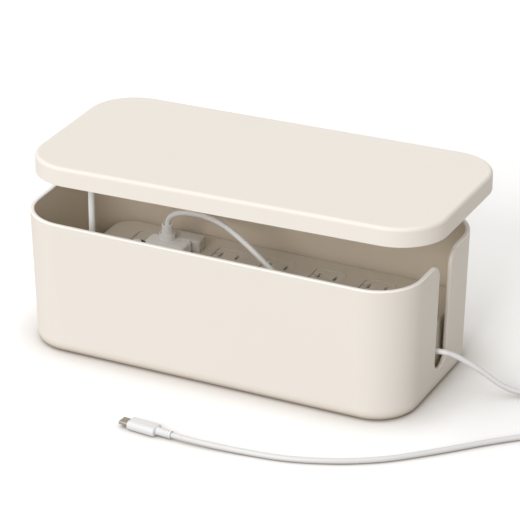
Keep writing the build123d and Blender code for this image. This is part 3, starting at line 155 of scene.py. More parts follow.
class Nodes:
    """Adds nodes to a tree and joins them in one line each."""

    def __init__(self, tree: bpy.types.NodeTree) -> None:
        """Work on a tree.

        Args:
            tree: the tree that the nodes go into.
        """
        self.tree = tree

    def add(self, kind: str, inputs: dict | None = None, **settings: object) -> bpy.types.Node:
        """Add a node.

        Args:
            kind: the node's Blender type.
            inputs: socket name or number to a value, or to an output socket that feeds it.
            settings: attributes of the node, such as its operation.

        Returns:
            The node.
        """
        node = self.tree.nodes.new(kind)
        for name, value in settings.items():
            setattr(node, name, value)
        for key, value in (inputs or {}).items():
            socket = node.inputs[key]
            if isinstance(value, bpy.types.NodeSocket):
                self.tree.links.new(value, socket)
            else:
                socket.default_value = value
        return node

    def maths(self, operation: str, *values: object) -> bpy.types.NodeSocket:
        """Add a Math node.

        Args:
            operation: what it does.
            values: numbers or output sockets.

        Returns:
            Its output socket.
        """
        return self.add("ShaderNodeMath", dict(enumerate(values)), operation=operation).outputs[0]

    def fade(self, value: bpy.types.NodeSocket, start: object, end: object) -> bpy.types.NodeSocket:
        """Rise smoothly from 0 to 1.

        Args:
            value: what decides.
            start: the value that gives 0, a number or an output socket.
            end: the value that gives 1, a number or an output socket.

        Returns:
            The share's socket.
        """
        limits = {"Value": value, "From Min": start, "From Max": end}
        return self.add("ShaderNodeMapRange", limits, interpolation_type="SMOOTHSTEP").outputs[0]

    def blend(self, factor: object, first: object, second: object) -> bpy.types.NodeSocket:
        """Mix two colours.

        Args:
            factor: a number or an output socket, from the first colour to the second.
            first: a colour or an output socket.
            second: a colour or an output socket.

        Returns:
            The mixed colour's socket.
        """
        node = self.add("ShaderNodeMix", data_type="RGBA")
        for number, value in ((MIX_FACTOR, factor), (MIX_FIRST, first), (MIX_SECOND, second)):
            if isinstance(value, bpy.types.NodeSocket):
                self.tree.links.new(value, node.inputs[number])
            else:
                node.inputs[number].default_value = value if number == MIX_FACTOR else (*value, 1.0)
        return node.outputs[MIX_RESULT]


def moulded_grain_group() -> bpy.types.NodeTree:
    """Build the surface of moulded plastic: a fine spark-eroded grain and a slow variation of tone.

    Returns:
        The group, which gives out Height and Tone.
    """
    tree = new_group(
        "MouldedGrain",
        [
            Socket("Vector", "NodeSocketVector"),
            Socket("Grain per metre", "NodeSocketFloat", 2600.0),
            Socket("Coarse scale", "NodeSocketFloat", 0.31),
            Socket("Coarse share", "NodeSocketFloat", 0.35),
            Socket("Mottle per metre", "NodeSocketFloat", 14.0),
        ],
        [Socket("Height", "NodeSocketFloat"), Socket("Tone", "NodeSocketFloat")],
    )
    nodes = Nodes(tree)
    given = tree.nodes["in"].outputs
    fine = nodes.add(
        "ShaderNodeTexNoise",
        {"Vector": given["Vector"], "Scale": given["Grain per metre"], "Detail": 2.0, "Roughness": 0.6},
    ).outputs[0]
    coarse_scale = nodes.maths("MULTIPLY", given["Grain per metre"], given["Coarse scale"])
    coarse = nodes.add(
        "ShaderNodeTexVoronoi", {"Vector": given["Vector"], "Scale": coarse_scale}, feature="SMOOTH_F1"
    ).outputs[0]
    coarse_part = nodes.maths("MULTIPLY", coarse, given["Coarse share"])
    height = nodes.maths("ADD", fine, coarse_part)
    tone = nodes.add(
        "ShaderNodeTexNoise",
        {"Vector": given["Vector"], "Scale": given["Mottle per metre"], "Detail": 3.0, "Roughness": 0.55},
    ).outputs[0]
    tree.links.new(height, tree.nodes["out"].inputs["Height"])
    tree.links.new(tone, tree.nodes["out"].inputs["Tone"])
    return tree


def handling_group() -> bpy.types.NodeTree:
    """Build faint polish from handling: smoother patches with soft borders.

    Returns:
        The group, which gives out Polish.
    """
    tree = new_group(
        "HandlingPolish",
        [
            Socket("Vector", "NodeSocketVector"),
            Socket("Patches per metre", "NodeSocketFloat", 9.0),
            Socket("Patch border", "NodeSocketFloat", 0.42),
            Socket("Patch middle", "NodeSocketFloat", 0.7),
            Socket("Amount", "NodeSocketFloat", 0.5),
        ],
        [Socket("Polish", "NodeSocketFloat")],
    )
    nodes = Nodes(tree)
    given = tree.nodes["in"].outputs
    patches = nodes.add(
        "ShaderNodeTexNoise",
        {"Vector": given["Vector"], "Scale": given["Patches per metre"], "Detail": 4.0, "Distortion": 0.6},
    ).outputs[0]
    mask = nodes.fade(patches, given["Patch border"], given["Patch middle"])
    tree.links.new(nodes.maths("MULTIPLY", mask, given["Amount"]), tree.nodes["out"].inputs["Polish"])
    return tree


def brushed_group() -> bpy.types.NodeTree:
    """Build fine lines along one axis, as on drawn or brushed metal.

    Returns:
        The group, which gives out Lines.
    """
    tree = new_group(
        "DrawnLines",
        [
            Socket("Vector", "NodeSocketVector"),
            Socket("Lines per metre", "NodeSocketFloat", 3000.0),
            Socket("Stretch", "NodeSocketFloat", 0.06),
        ],
        [Socket("Lines", "NodeSocketFloat")],
    )
    nodes = Nodes(tree)
    given = tree.nodes["in"].outputs
    parts = nodes.add("ShaderNodeSeparateXYZ", {"Vector": given["Vector"]}).outputs
    along = nodes.maths("MULTIPLY", parts["X"], given["Stretch"])
    joined = nodes.add("ShaderNodeCombineXYZ", {"X": along, "Y": parts["Y"], "Z": parts["Z"]}).outputs[0]
    lines = nodes.add(
        "ShaderNodeTexNoise", {"Vector": joined, "Scale": given["Lines per metre"], "Detail": 2.0}
    ).outputs[0]
    tree.links.new(lines, tree.nodes["out"].inputs["Lines"])
    return tree


def inside_group() -> bpy.types.NodeTree:
    """Build the masks of a rounded, drafted tub: its inside, the depth below its rim, and its two edges.

    Returns:
        The group, which gives out Inside, Depth, Rim edge and Foot edge, all from 0 to 1.
    """
    tree = new_group(
        "TubInside",
        [
            Socket("Vector", "NodeSocketVector"),
            Socket("Half length", "NodeSocketFloat", 0.15),
            Socket("Half width", "NodeSocketFloat", 0.071),
            Socket("Corner", "NodeSocketFloat", 0.034),
            Socket("Draft", "NodeSocketFloat", 0.0325),
            Socket("Rim", "NodeSocketFloat", 0.102),
            Socket("Floor", "NodeSocketFloat", 0.0028),
            Socket("Wall start", "NodeSocketFloat", 0.0016),
            Socket("Wall end", "NodeSocketFloat", 0.0025),
            Socket("Under rim start", "NodeSocketFloat", 0.0005),
            Socket("Under rim end", "NodeSocketFloat", 0.0016),
            Socket("Rim edge start", "NodeSocketFloat", 0.0014),
            Socket("Rim edge end", "NodeSocketFloat", 0.0006),
            Socket("Foot edge start", "NodeSocketFloat", 0.0095),
            Socket("Foot edge end", "NodeSocketFloat", 0.0005),
        ],
        [
            Socket("Inside", "NodeSocketFloat"),
            Socket("Depth", "NodeSocketFloat"),
            Socket("Rim edge", "NodeSocketFloat"),
            Socket("Foot edge", "NodeSocketFloat"),
        ],
    )
    nodes = Nodes(tree)
    given = tree.nodes["in"].outputs
    parts = nodes.add("ShaderNodeSeparateXYZ", {"Vector": given["Vector"]}).outputs
    reach = []
    for part, half in ((parts["X"], "Half length"), (parts["Y"], "Half width")):
        straight = nodes.maths("SUBTRACT", given[half], given["Corner"])
        reach.append(nodes.maths("SUBTRACT", nodes.maths("ABSOLUTE", part), straight))
    beyond = [nodes.maths("POWER", nodes.maths("MAXIMUM", side, 0.0), 2.0) for side in reach]
    round_part = nodes.maths("SQRT", nodes.maths("ADD", *beyond))
    flat_part = nodes.maths("MINIMUM", nodes.maths("MAXIMUM", *reach), 0.0)
    below_rim = nodes.maths("SUBTRACT", given["Rim"], parts["Z"])
    drawn_in = nodes.maths("MULTIPLY", below_rim, given["Draft"])
    outline = nodes.maths("SUBTRACT", given["Corner"], drawn_in)
    inward = nodes.maths("SUBTRACT", outline, nodes.maths("ADD", round_part, flat_part))
    within = nodes.fade(inward, given["Wall start"], given["Wall end"])
    under_rim = nodes.fade(below_rim, given["Under rim start"], given["Under rim end"])
    above_floor = nodes.maths("GREATER_THAN", parts["Z"], given["Floor"])
    inside = nodes.maths("MULTIPLY", nodes.maths("MULTIPLY", within, under_rim), above_floor)
    # These masks place the tub's painted shade inside and at the foot, and its painted highlight on the rim.
    masks = {
        "Inside": inside,
        "Depth": nodes.maths("DIVIDE", below_rim, given["Rim"]),
        "Rim edge": nodes.fade(below_rim, given["Rim edge start"], given["Rim edge end"]),
        "Foot edge": nodes.fade(parts["Z"], given["Foot edge start"], given["Foot edge end"]),
    }
    for name, mask in masks.items():
        tree.links.new(mask, tree.nodes["out"].inputs[name])
    return tree


class Groups:
    """The node groups that several materials share."""

    def __init__(self) -> None:
        """Build each group once."""
        self.grain = moulded_grain_group()
        self.handling = handling_group()
        self.brushed = brushed_group()
        self.inside = inside_group()


# ---------------------------------------------------------------- finishes


@dataclass(frozen=True)
class Plastic:
    """Moulded plastic or rubber: a base tone with slow variation and a fine grain."""

    name: str
    colour: Colour
    shade: Colour
    roughness: float
    grain_per_metre: float = 2600.0
    grain_depth: float = 0.00004
    grain_strength: float = 0.25
    mottle: float = 0.5
    polish: float = 0.06
    specular: float = 0.4
    coat: float = 0.0
    coat_roughness: float = 0.25

    def tone(
        self, nodes: Nodes, groups: Groups, place: bpy.types.NodeSocket, plain: bpy.types.NodeSocket
    ) -> bpy.types.NodeSocket:
        """Give the colour as it is over the whole piece.

        Args:
            nodes: the material's tree.
            groups: the shared node groups.
            place: the piece's own coordinates.
            plain: the mottled colour.

        Returns:
            The colour's socket.
        """
        return plain

    def make(self, groups: Groups) -> bpy.types.Material:
        """Build the material.

        Args:
            groups: the shared node groups.

        Returns:
            The material.
        """
        material = bpy.data.materials.new(self.name)
        material.use_nodes = True
        tree = material.node_tree
        nodes = Nodes(tree)
        shader = tree.nodes["Principled BSDF"]
        place = nodes.add("ShaderNodeTexCoord").outputs["Object"]
        grain = nodes.add("ShaderNodeGroup", node_tree=groups.grain)
        tree.links.new(place, grain.inputs["Vector"])
        grain.inputs["Grain per metre"].default_value = self.grain_per_metre
        handling = nodes.add("ShaderNodeGroup", node_tree=groups.handling)
        tree.links.new(place, handling.inputs["Vector"])
        handling.inputs["Amount"].default_value = self.polish
        share = nodes.maths("MULTIPLY", grain.outputs["Tone"], self.mottle)
        tone = self.tone(nodes, groups, place, nodes.blend(share, self.colour, self.shade))
        tree.links.new(tone, shader.inputs["Base Color"])
        roughness = nodes.maths("SUBTRACT", self.roughness, handling.outputs["Polish"])
        tree.links.new(roughness, shader.inputs["Roughness"])
        bump = nodes.add(
            "ShaderNodeBump",
            {"Strength": self.grain_strength, "Distance": self.grain_depth, "Height": grain.outputs["Height"]},
        )
        tree.links.new(bump.outputs[0], shader.inputs["Normal"])
        shader.inputs["Specular IOR Level"].default_value = self.specular
        shader.inputs["Coat Weight"].default_value = self.coat
        shader.inputs["Coat Roughness"].default_value = self.coat_roughness
        return material


@dataclass(frozen=True)
class HollowPlastic(Plastic):
    """Moulded plastic of the tub.

    The inside is painted darker and warmer as painted shade, more so towards the floor. The rim is painted lighter
    as a painted highlight, and the foot darker as painted shade.
    """

    # Painted shade inside the tub, darkest towards the floor; a painted highlight on the rim; painted shade at the
    # foot.
    inner: Colour = (0.78, 0.695, 0.575)
    deep_shade: Colour = (0.61, 0.52, 0.41)
    rim: Colour = (0.93, 0.9, 0.85)
    foot: Colour = (0.6, 0.53, 0.44)

    def tone(
        self, nodes: Nodes, groups: Groups, place: bpy.types.NodeSocket, plain: bpy.types.NodeSocket
    ) -> bpy.types.NodeSocket:
        """Give the colour, from the mottled cream outside to the painted shade inside, with a painted highlight on
        the rim and painted shade at the foot.

        Args:
            nodes: the material's tree.
            groups: the shared node groups.
            place: the piece's own coordinates.
            plain: the mottled colour.

        Returns:
            The colour's socket.
        """
        mask = nodes.add("ShaderNodeGroup", {"Vector": place}, node_tree=groups.inside).outputs
        # Painted shade inside and at the foot, and a painted highlight on the rim.
        within = nodes.blend(mask["Depth"], self.inner, self.deep_shade)
        outside = nodes.blend(mask["Foot edge"], plain, self.foot)
        walls = nodes.blend(mask["Inside"], outside, within)
        return nodes.blend(mask["Rim edge"], walls, self.rim)


@dataclass(frozen=True)
class CordPlastic(Plastic):
    """Soft plastic of the cable, painted lighter inside the tub as painted light.

    The half length and half width of the space with painted light, and the fade at its border, are in metres.
    """

    # Painted light: the cable is lighter inside the tub than outside it.
    painted_light_tone: Colour = (0.95, 0.945, 0.93)
    painted_light_half_length: float = 0.151
    painted_light_half_width: float = 0.074
    fade: float = 0.004

    def tone(
        self, nodes: Nodes, groups: Groups, place: bpy.types.NodeSocket, plain: bpy.types.NodeSocket
    ) -> bpy.types.NodeSocket:
        """Give the colour, from the painted light inside the tub to the plain tone outside it.

        Args:
            nodes: the material's tree.
            groups: the shared node groups.
            place: the piece's own coordinates.
            plain: the mottled colour.

        Returns:
            The colour's socket.
        """
        parts = nodes.add("ShaderNodeSeparateXYZ", {"Vector": place}).outputs
        beyond = []
        for axis, limit in (("X", self.painted_light_half_length), ("Y", self.painted_light_half_width)):
            past = nodes.maths("SUBTRACT", nodes.maths("ABSOLUTE", parts[axis]), limit)
            beyond.append(nodes.maths("DIVIDE", past, self.fade))
        away = nodes.maths("MINIMUM", nodes.maths("MAXIMUM", nodes.maths("MAXIMUM", *beyond), 0.0), 1.0)
        # Painted light inside the tub, the plain tone outside it.
        return nodes.blend(away, self.painted_light_tone, plain)


@dataclass(frozen=True)
class Metal:
    """Bare or plated metal with fine drawn lines."""

    name: str
    colour: Colour
    roughness: float
    lines_per_metre: float = 3000.0
    line_strength: float = 0.15
    line_depth: float = 0.00002
    line_share: float = 0.35
    line_tone: float = 0.8
    line_roughness: float = 0.12

    def make(self, groups: Groups) -> bpy.types.Material:
        """Build the material.

        Args:
            groups: the shared node groups.

        Returns:
            The material.
        """
        material = bpy.data.materials.new(self.name)
        material.use_nodes = True
        tree = material.node_tree
        nodes = Nodes(tree)
        shader = tree.nodes["Principled BSDF"]
        place = nodes.add("ShaderNodeTexCoord").outputs["Object"]
        lines = nodes.add("ShaderNodeGroup", node_tree=groups.brushed)
        tree.links.new(place, lines.inputs["Vector"])
        lines.inputs["Lines per metre"].default_value = self.lines_per_metre
        share = nodes.maths("MULTIPLY", lines.outputs[0], self.line_share)
        darker = tuple(self.line_tone * part for part in self.colour)
        tree.links.new(nodes.blend(share, self.colour, darker), shader.inputs["Base Color"])
        spread = nodes.maths("MULTIPLY", lines.outputs[0], self.line_roughness)
        tree.links.new(nodes.maths("ADD", spread, self.roughness), shader.inputs["Roughness"])
        bump = nodes.add(
            "ShaderNodeBump",
            {"Strength": self.line_strength, "Distance": self.line_depth, "Height": lines.outputs[0]},
        )
        tree.links.new(bump.outputs[0], shader.inputs["Normal"])
        shader.inputs["Metallic"].default_value = 1.0
        return material


CREAM = Plastic("cream_plastic", (0.81, 0.76, 0.695), (0.775, 0.725, 0.66), 0.62)
TUB_CREAM = HollowPlastic("tub_cream", (0.81, 0.76, 0.695), (0.775, 0.725, 0.66), 0.62)
CREAM_INNER = Plastic("cream_plastic_inner", (0.76, 0.69, 0.59), (0.72, 0.65, 0.55), 0.68)
STRIP_PLASTIC = Plastic("strip_plastic", (0.69, 0.635, 0.545), (0.65, 0.595, 0.51), 0.5)
STRIP_INSERT = Plastic("strip_insert", (0.7, 0.65, 0.565), (0.67, 0.62, 0.535), 0.42)
WHITE_PLASTIC = Plastic("white_plastic", (0.93, 0.92, 0.895), (0.91, 0.9, 0.875), 0.36)
WHITE_GLOSS = Plastic("white_gloss", (0.94, 0.94, 0.93), (0.92, 0.92, 0.91), 0.22, coat=0.3)
# Painted shade: the charger's rear half, white plastic like its front, gets a darker tone.
CHARGER_REAR_SHADED = Plastic("charger_rear_painted_shade", (0.66, 0.625, 0.565), (0.63, 0.595, 0.535), 0.42)
CABLE_JACKET = CordPlastic("cable_jacket", (0.7, 0.695, 0.69), (0.68, 0.675, 0.67), 0.34, polish=0.03)
PLUG_WHITE = Plastic("plug_white", (0.74, 0.74, 0.75), (0.72, 0.72, 0.73), 0.36)
GREY_RUBBER = Plastic("grey_rubber", (0.3, 0.285, 0.26), (0.25, 0.235, 0.215), 0.85, grain_strength=0.4)
BLACK_RUBBER = Plastic("black_rubber", (0.02, 0.02, 0.02), (0.03, 0.03, 0.03), 0.8)
BLACK_PLASTIC = Plastic("black_plastic", (0.02, 0.02, 0.02), (0.03, 0.03, 0.03), 0.5)
BOARD = Plastic("board", (0.03, 0.16, 0.05), (0.02, 0.12, 0.04), 0.45)
STEEL = Metal("steel", (0.6, 0.6, 0.59), 0.3)
NICKEL = Metal("nickel", (0.38, 0.345, 0.3), 0.24)
BRASS = Metal("brass", (0.78, 0.6, 0.3), 0.28)
ALL_FINISHES = (
    CREAM, TUB_CREAM, CREAM_INNER, STRIP_PLASTIC, STRIP_INSERT, WHITE_PLASTIC, WHITE_GLOSS, CHARGER_REAR_SHADED,
    CABLE_JACKET, PLUG_WHITE, GREY_RUBBER, BLACK_RUBBER, BLACK_PLASTIC, BOARD, STEEL, NICKEL, BRASS,
)


class Finishes:
    """Makes each finish once, and gives the CAD nodes the finish of their slot or their own."""

    own: dict[str, str] = {"tub": "tub_cream"}

    def __init__(self) -> None:
        """Build all materials."""
        groups = Groups()
        self.made = {finish.name: finish.make(groups) for finish in ALL_FINISHES}

    def dress_nodes(self, frame: dict) -> None:
        """Give every CAD node the finish that the record names for it.
        """
        for entry in frame["record"]["subparts"]:
            node = frame["nodes"][entry["node"]]
            for place in node.material_slots:
                place.link = "OBJECT"
                place.material = self.made[self.own.get(entry["node"], entry["material_slot"])]


# ---------------------------------------------------------------- shapes


class Shape:
    """A mesh under construction, in metres."""

    def __init__(self) -> None:
        """Start empty."""
        self.bm = bmesh.new()

    def turn(self, profile: list[tuple[float, float]], middle: Point, steps: int = 48) -> None:
        """Spin a closed outline about a line parallel to Z.

        Args:
            profile: corners of the outline, each its radius and height in mm.
            middle: a point of the line, in mm.
            steps: how many flats the full turn has.
        """
        centre = Vector(middle) * MM
        spots = [self.bm.verts.new(centre + Vector((radius, 0.0, height)) * MM) for radius, height in profile]
        ring = spots + [self.bm.edges.new(pair) for pair in zip(spots, spots[1:] + spots[:1])]
        bmesh.ops.spin(
            self.bm, geom=ring, cent=centre, axis=(0.0, 0.0, 1.0), dvec=(0.0, 0.0, 0.0),
            angle=2 * math.pi, steps=steps, use_merge=True, use_duplicate=False,
        )
        bmesh.ops.remove_doubles(self.bm, verts=self.bm.verts, dist=MERGE_DISTANCE)
        on_axis = [edge for edge in self.bm.edges if not edge.link_faces]
        bmesh.ops.delete(self.bm, geom=on_axis, context="EDGES")

    def block(self, low: Point, high: Point) -> None:
        """Add a box.

        Args:
            low: its lowest corner, in mm.
            high: its highest corner, in mm.
        """
        size = (Vector(high) - Vector(low)) * MM
        middle = (Vector(high) + Vector(low)) / 2 * MM
        place = Matrix.Translation(middle) @ Matrix.Diagonal((*size, 1.0))
        bmesh.ops.create_cube(self.bm, size=1.0, matrix=place)

    def round_edges(self, chosen: Callable[[bmesh.types.BMEdge], bool], radius: float, segments: int = 4) -> None:
        """Round some edges.

        Args:
            chosen: tells whether an edge is rounded.
            radius: the rounding, in mm.
            segments: how many flats it has.
        """
        self.bm.normal_update()
        bmesh.ops.bevel(
            self.bm, geom=[edge for edge in self.bm.edges if chosen(edge)], offset=radius * MM,
            segments=segments, profile=0.5, affect="EDGES", material=-1, clamp_overlap=True,
        )

    def soften(self, radius: float, sharper_than: float = 40.0, segments: int = 3) -> None:
        """Round every sharp edge a little.

        Args:
            radius: the rounding, in mm.
            sharper_than: the least angle between the faces of a sharp edge, in degrees.
            segments: how many flats the rounding has.
        """
        limit = math.radians(sharper_than)
        self.round_edges(lambda edge: edge.calc_face_angle(0.0) > limit, radius, segments)

    def place(self, matrix: Matrix) -> None:
        """Move the whole mesh.

        Args:
            matrix: the move, in metres.
        """
        bmesh.ops.transform(self.bm, matrix=matrix, verts=self.bm.verts)

    def finish(self, name: str, material: bpy.types.Material, smooth_below: float = 40.0) -> bpy.types.Object:
        """Turn the mesh into an object with its place in its mesh.

        Args:
            name: the object's name.
            material: its finish.
            smooth_below: edges flatter than this, in degrees, are shaded smooth.

        Returns:
            The object.
        """
        bmesh.ops.remove_doubles(self.bm, verts=self.bm.verts, dist=MERGE_DISTANCE)
        bmesh.ops.recalc_face_normals(self.bm, faces=self.bm.faces)
        for face in self.bm.faces:
            face.smooth = True
        for edge in self.bm.edges:
            edge.smooth = edge.calc_face_angle(0.0) < math.radians(smooth_below)
        mesh = bpy.data.meshes.new(name)
        self.bm.to_mesh(mesh)
        self.bm.free()
        piece = bpy.data.objects.new(name, mesh)
        bpy.context.scene.collection.objects.link(piece)
        mesh.materials.append(material)
        return piece


def stand_for(piece: bpy.types.Object, node: str, body: Body) -> None:
    """Let a piece stand for a CAD node.

    Args:
        piece: the piece.
        node: the CAD node that it replaces.
        body: the body that it rides on.
    """
    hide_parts(node)
    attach(piece, body.value)


# ---------------------------------------------------------------- cable


@dataclass
class Cable:
    """The charger's cable on one smooth route, from inside the charger to the plug.

    The length is in metres and is not used; the radius and the route are in mm.
    """

    radius: float = 2.0
    length: float = 1.0
    steps_between_points: int = 14
    quarter_steps: int = 5
    route: list[Point] = field(
        default_factory=lambda: [
            (-79.4, 28.6, 50.0),
            (-79.4, 28.6, 58.6),
            (-78.8, 28.4, 74.5),
            (-60.0, 22.0, 84.0),
            (-32.0, 12.0, 88.0),
            (-8.0, 3.0, 82.5),
            (40.0, -9.0, 54.0),
            (78.0, -17.0, 14.0),
            (112.0, -21.0, 6.0),
            (110.0, -60.0, 6.0),
            (66.0, -61.5, 6.0),
            (32.0, -58.5, 6.0),
            (4.0, -61.0, 6.0),
            (2.0, -16.0, 6.0),
            (30.0, -8.0, 6.0),
            (64.0, -10.0, 6.0),
            (100.0, -7.0, 9.0),
            (124.0, -4.0, 20.0),
            (148.0, -1.0, 32.0),
            (173.5, 3.0, 21.5),
            (197.5, 8.0, 4.0),
            (222.0, 22.0, 2.1),
            (256.0, 12.0, 2.1),
            (268.0, -14.0, 2.1),
            (244.0, -30.0, 2.1),
            (214.0, -55.0, 2.1),
            (183.0, -87.5, 2.1),
            (148.5, -119.0, 2.1),
            (103.0, -139.5, 2.1),
            (65.5, -144.5, 2.1),
            (28.0, -147.7, 3.25),
            (11.4, -146.2, 3.25),
        ]
    )

    def build(self, finishes: Finishes) -> bpy.types.Object:
        """Lay the cable.

        Args:
            finishes: the finishes.

        Returns:
            The cable's curve object.
        """
        curve = bpy.data.curves.new("cable_cord", "CURVE")
        curve.dimensions = "3D"
        spline = curve.splines.new("NURBS")
        spline.points.add(len(self.route) - 1)
        for point, place in zip(spline.points, self.route):
            point.co = (*(part * MM for part in place), 1.0)
        spline.order_u = 3
        spline.use_endpoint_u = True
        spline.resolution_u = self.steps_between_points
        curve.bevel_depth = self.radius * MM
        curve.bevel_resolution = self.quarter_steps
        curve.use_fill_caps = True
        curve.materials.append(finishes.made["cable_jacket"])
        cord = bpy.data.objects.new("cable_cord", curve)
        bpy.context.scene.collection.objects.link(cord)
        stand_for(cord, "cable", Body.TUB)
        return cord


# ---------------------------------------------------------------- charger


def upright(edge: bmesh.types.BMEdge) -> bool:
    """Tell whether an edge stands parallel to Z.

    Args:
        edge: the edge.

    Returns:
        True for an upright edge.
    """
    run = edge.verts[1].co - edge.verts[0].co
    return abs(run.z) > UPRIGHT_SHARE * run.length


@dataclass
class Charger:
    """The charger's two-part case and the two-stage boot of its cable."""

    bottom: float = 46.6
    top: float = 55.6
    front_low: tuple[float, float] = (-93.4, 18.5)
    front_high: tuple[float, float] = (-61.6, 33.45)
    rear_low: tuple[float, float] = (-87.0, 33.55)
    rear_high: tuple[float, float] = (-56.0, 45.5)
    outer_corner: float = 3.4
    joint_corner: float = 2.3
    edge: float = 1.5
    bottom_edge: float = 0.3
    boot: tuple[float, float] = (-79.4, 28.6)
    collar_radius: float = 5.8
    collar_height: float = 5.2
    collar_recess: float = 1.6
    collar_taper: float = 0.15
    collar_lip: float = 1.9
    collar_softening: float = 0.42
    wall: float = 1.0
    bore: float = 2.15
    sleeve_foot: float = 4.4
    sleeve_top: float = 3.95
    sleeve_height: float = 8.4
    sleeve_waist: float = 0.62
    sleeve_waist_narrower: float = 0.12
    sleeve_lip: float = 1.0
    sleeve_softening: float = 0.34
    mouth: float = 2.9
    mouth_floor: float = 1.4

    def case(self, low: tuple[float, float], high: tuple[float, float], outer: Side) -> Shape:
        """Shape one half of the case.

        Args:
            low: its lowest corner in plan.
            high: its highest corner in plan.
            outer: the side on which its outer corners lie; the joint is on the other.

        Returns:
            The mesh.
        """
        shape = Shape()
        shape.block((*low, self.bottom), (*high, self.top))
        middle = (low[1] + high[1]) / 2 * MM
        for side, radius in ((outer.value, self.outer_corner), (-outer.value, self.joint_corner)):
            shape.round_edges(
                lambda edge, side=side: upright(edge) and (edge.verts[0].co.y - middle) * side > 0,
                radius,
                segments=6,
            )
        top = (self.top - LEVEL_TOLERANCE) * MM
        shape.round_edges(lambda edge: all(vert.co.z > top for vert in edge.verts), self.edge, segments=5)
        bottom = (self.bottom + LEVEL_TOLERANCE) * MM
        shape.round_edges(lambda edge: all(vert.co.z < bottom for vert in edge.verts), self.bottom_edge, segments=2)
        return shape

    def collar(self) -> Shape:
        """Shape the boot's lower, wider stage with its rounded lip.

        Returns:
            The mesh.
        """
        top = self.top + self.collar_height
        seat = top - self.collar_recess
        inner = self.collar_radius - self.wall
        shape = Shape()
        shape.turn(
            [
                (self.bore, self.top), (self.collar_radius - self.collar_taper, self.top),
                (self.collar_radius, top - self.collar_lip), (self.collar_radius, top),
                (inner, top), (inner, seat), (self.bore, seat),
            ],
            (*self.boot, 0.0),
        )
        shape.soften(self.collar_softening)
        return shape

    def sleeve(self) -> Shape:
        """Shape the boot's upper stage, tapered, with a rounded lip round the cable.

        Returns:
            The mesh.
        """
        foot = self.top + self.collar_height - self.collar_recess
        top = foot + self.sleeve_height
        floor = foot + self.mouth_floor
        waist = foot + self.sleeve_waist * self.sleeve_height
        shape = Shape()
        shape.turn(
            [
                (self.bore, foot), (self.sleeve_foot, foot),
                (self.sleeve_top - self.sleeve_waist_narrower, waist), (self.sleeve_top, top - self.sleeve_lip),
                (self.sleeve_top, top), (self.mouth, top), (self.mouth, floor), (self.bore, floor),
            ],
            (*self.boot, 0.0),
        )
        shape.soften(self.sleeve_softening)
        return shape

    def build(self, finishes: Finishes) -> None:
        """Build and dress the charger.

        Args:
            finishes: the finishes.
        """
        pieces = {
            "charger_front": self.case(self.front_low, self.front_high, Side.FRONT),
            "charger_rear": self.case(self.rear_low, self.rear_high, Side.BACK),
            "boot_collar": self.collar(),
            "boot_sleeve": self.sleeve(),
        }
        for name, shape in pieces.items():
            # The rear half gets a darker tone as painted shade.
            finish = "charger_rear_painted_shade" if name == "charger_rear" else "white_plastic"
            stand_for(shape.finish(f"{name}_case", finishes.made[finish]), name, Body.TUB)


# ---------------------------------------------------------------- plug


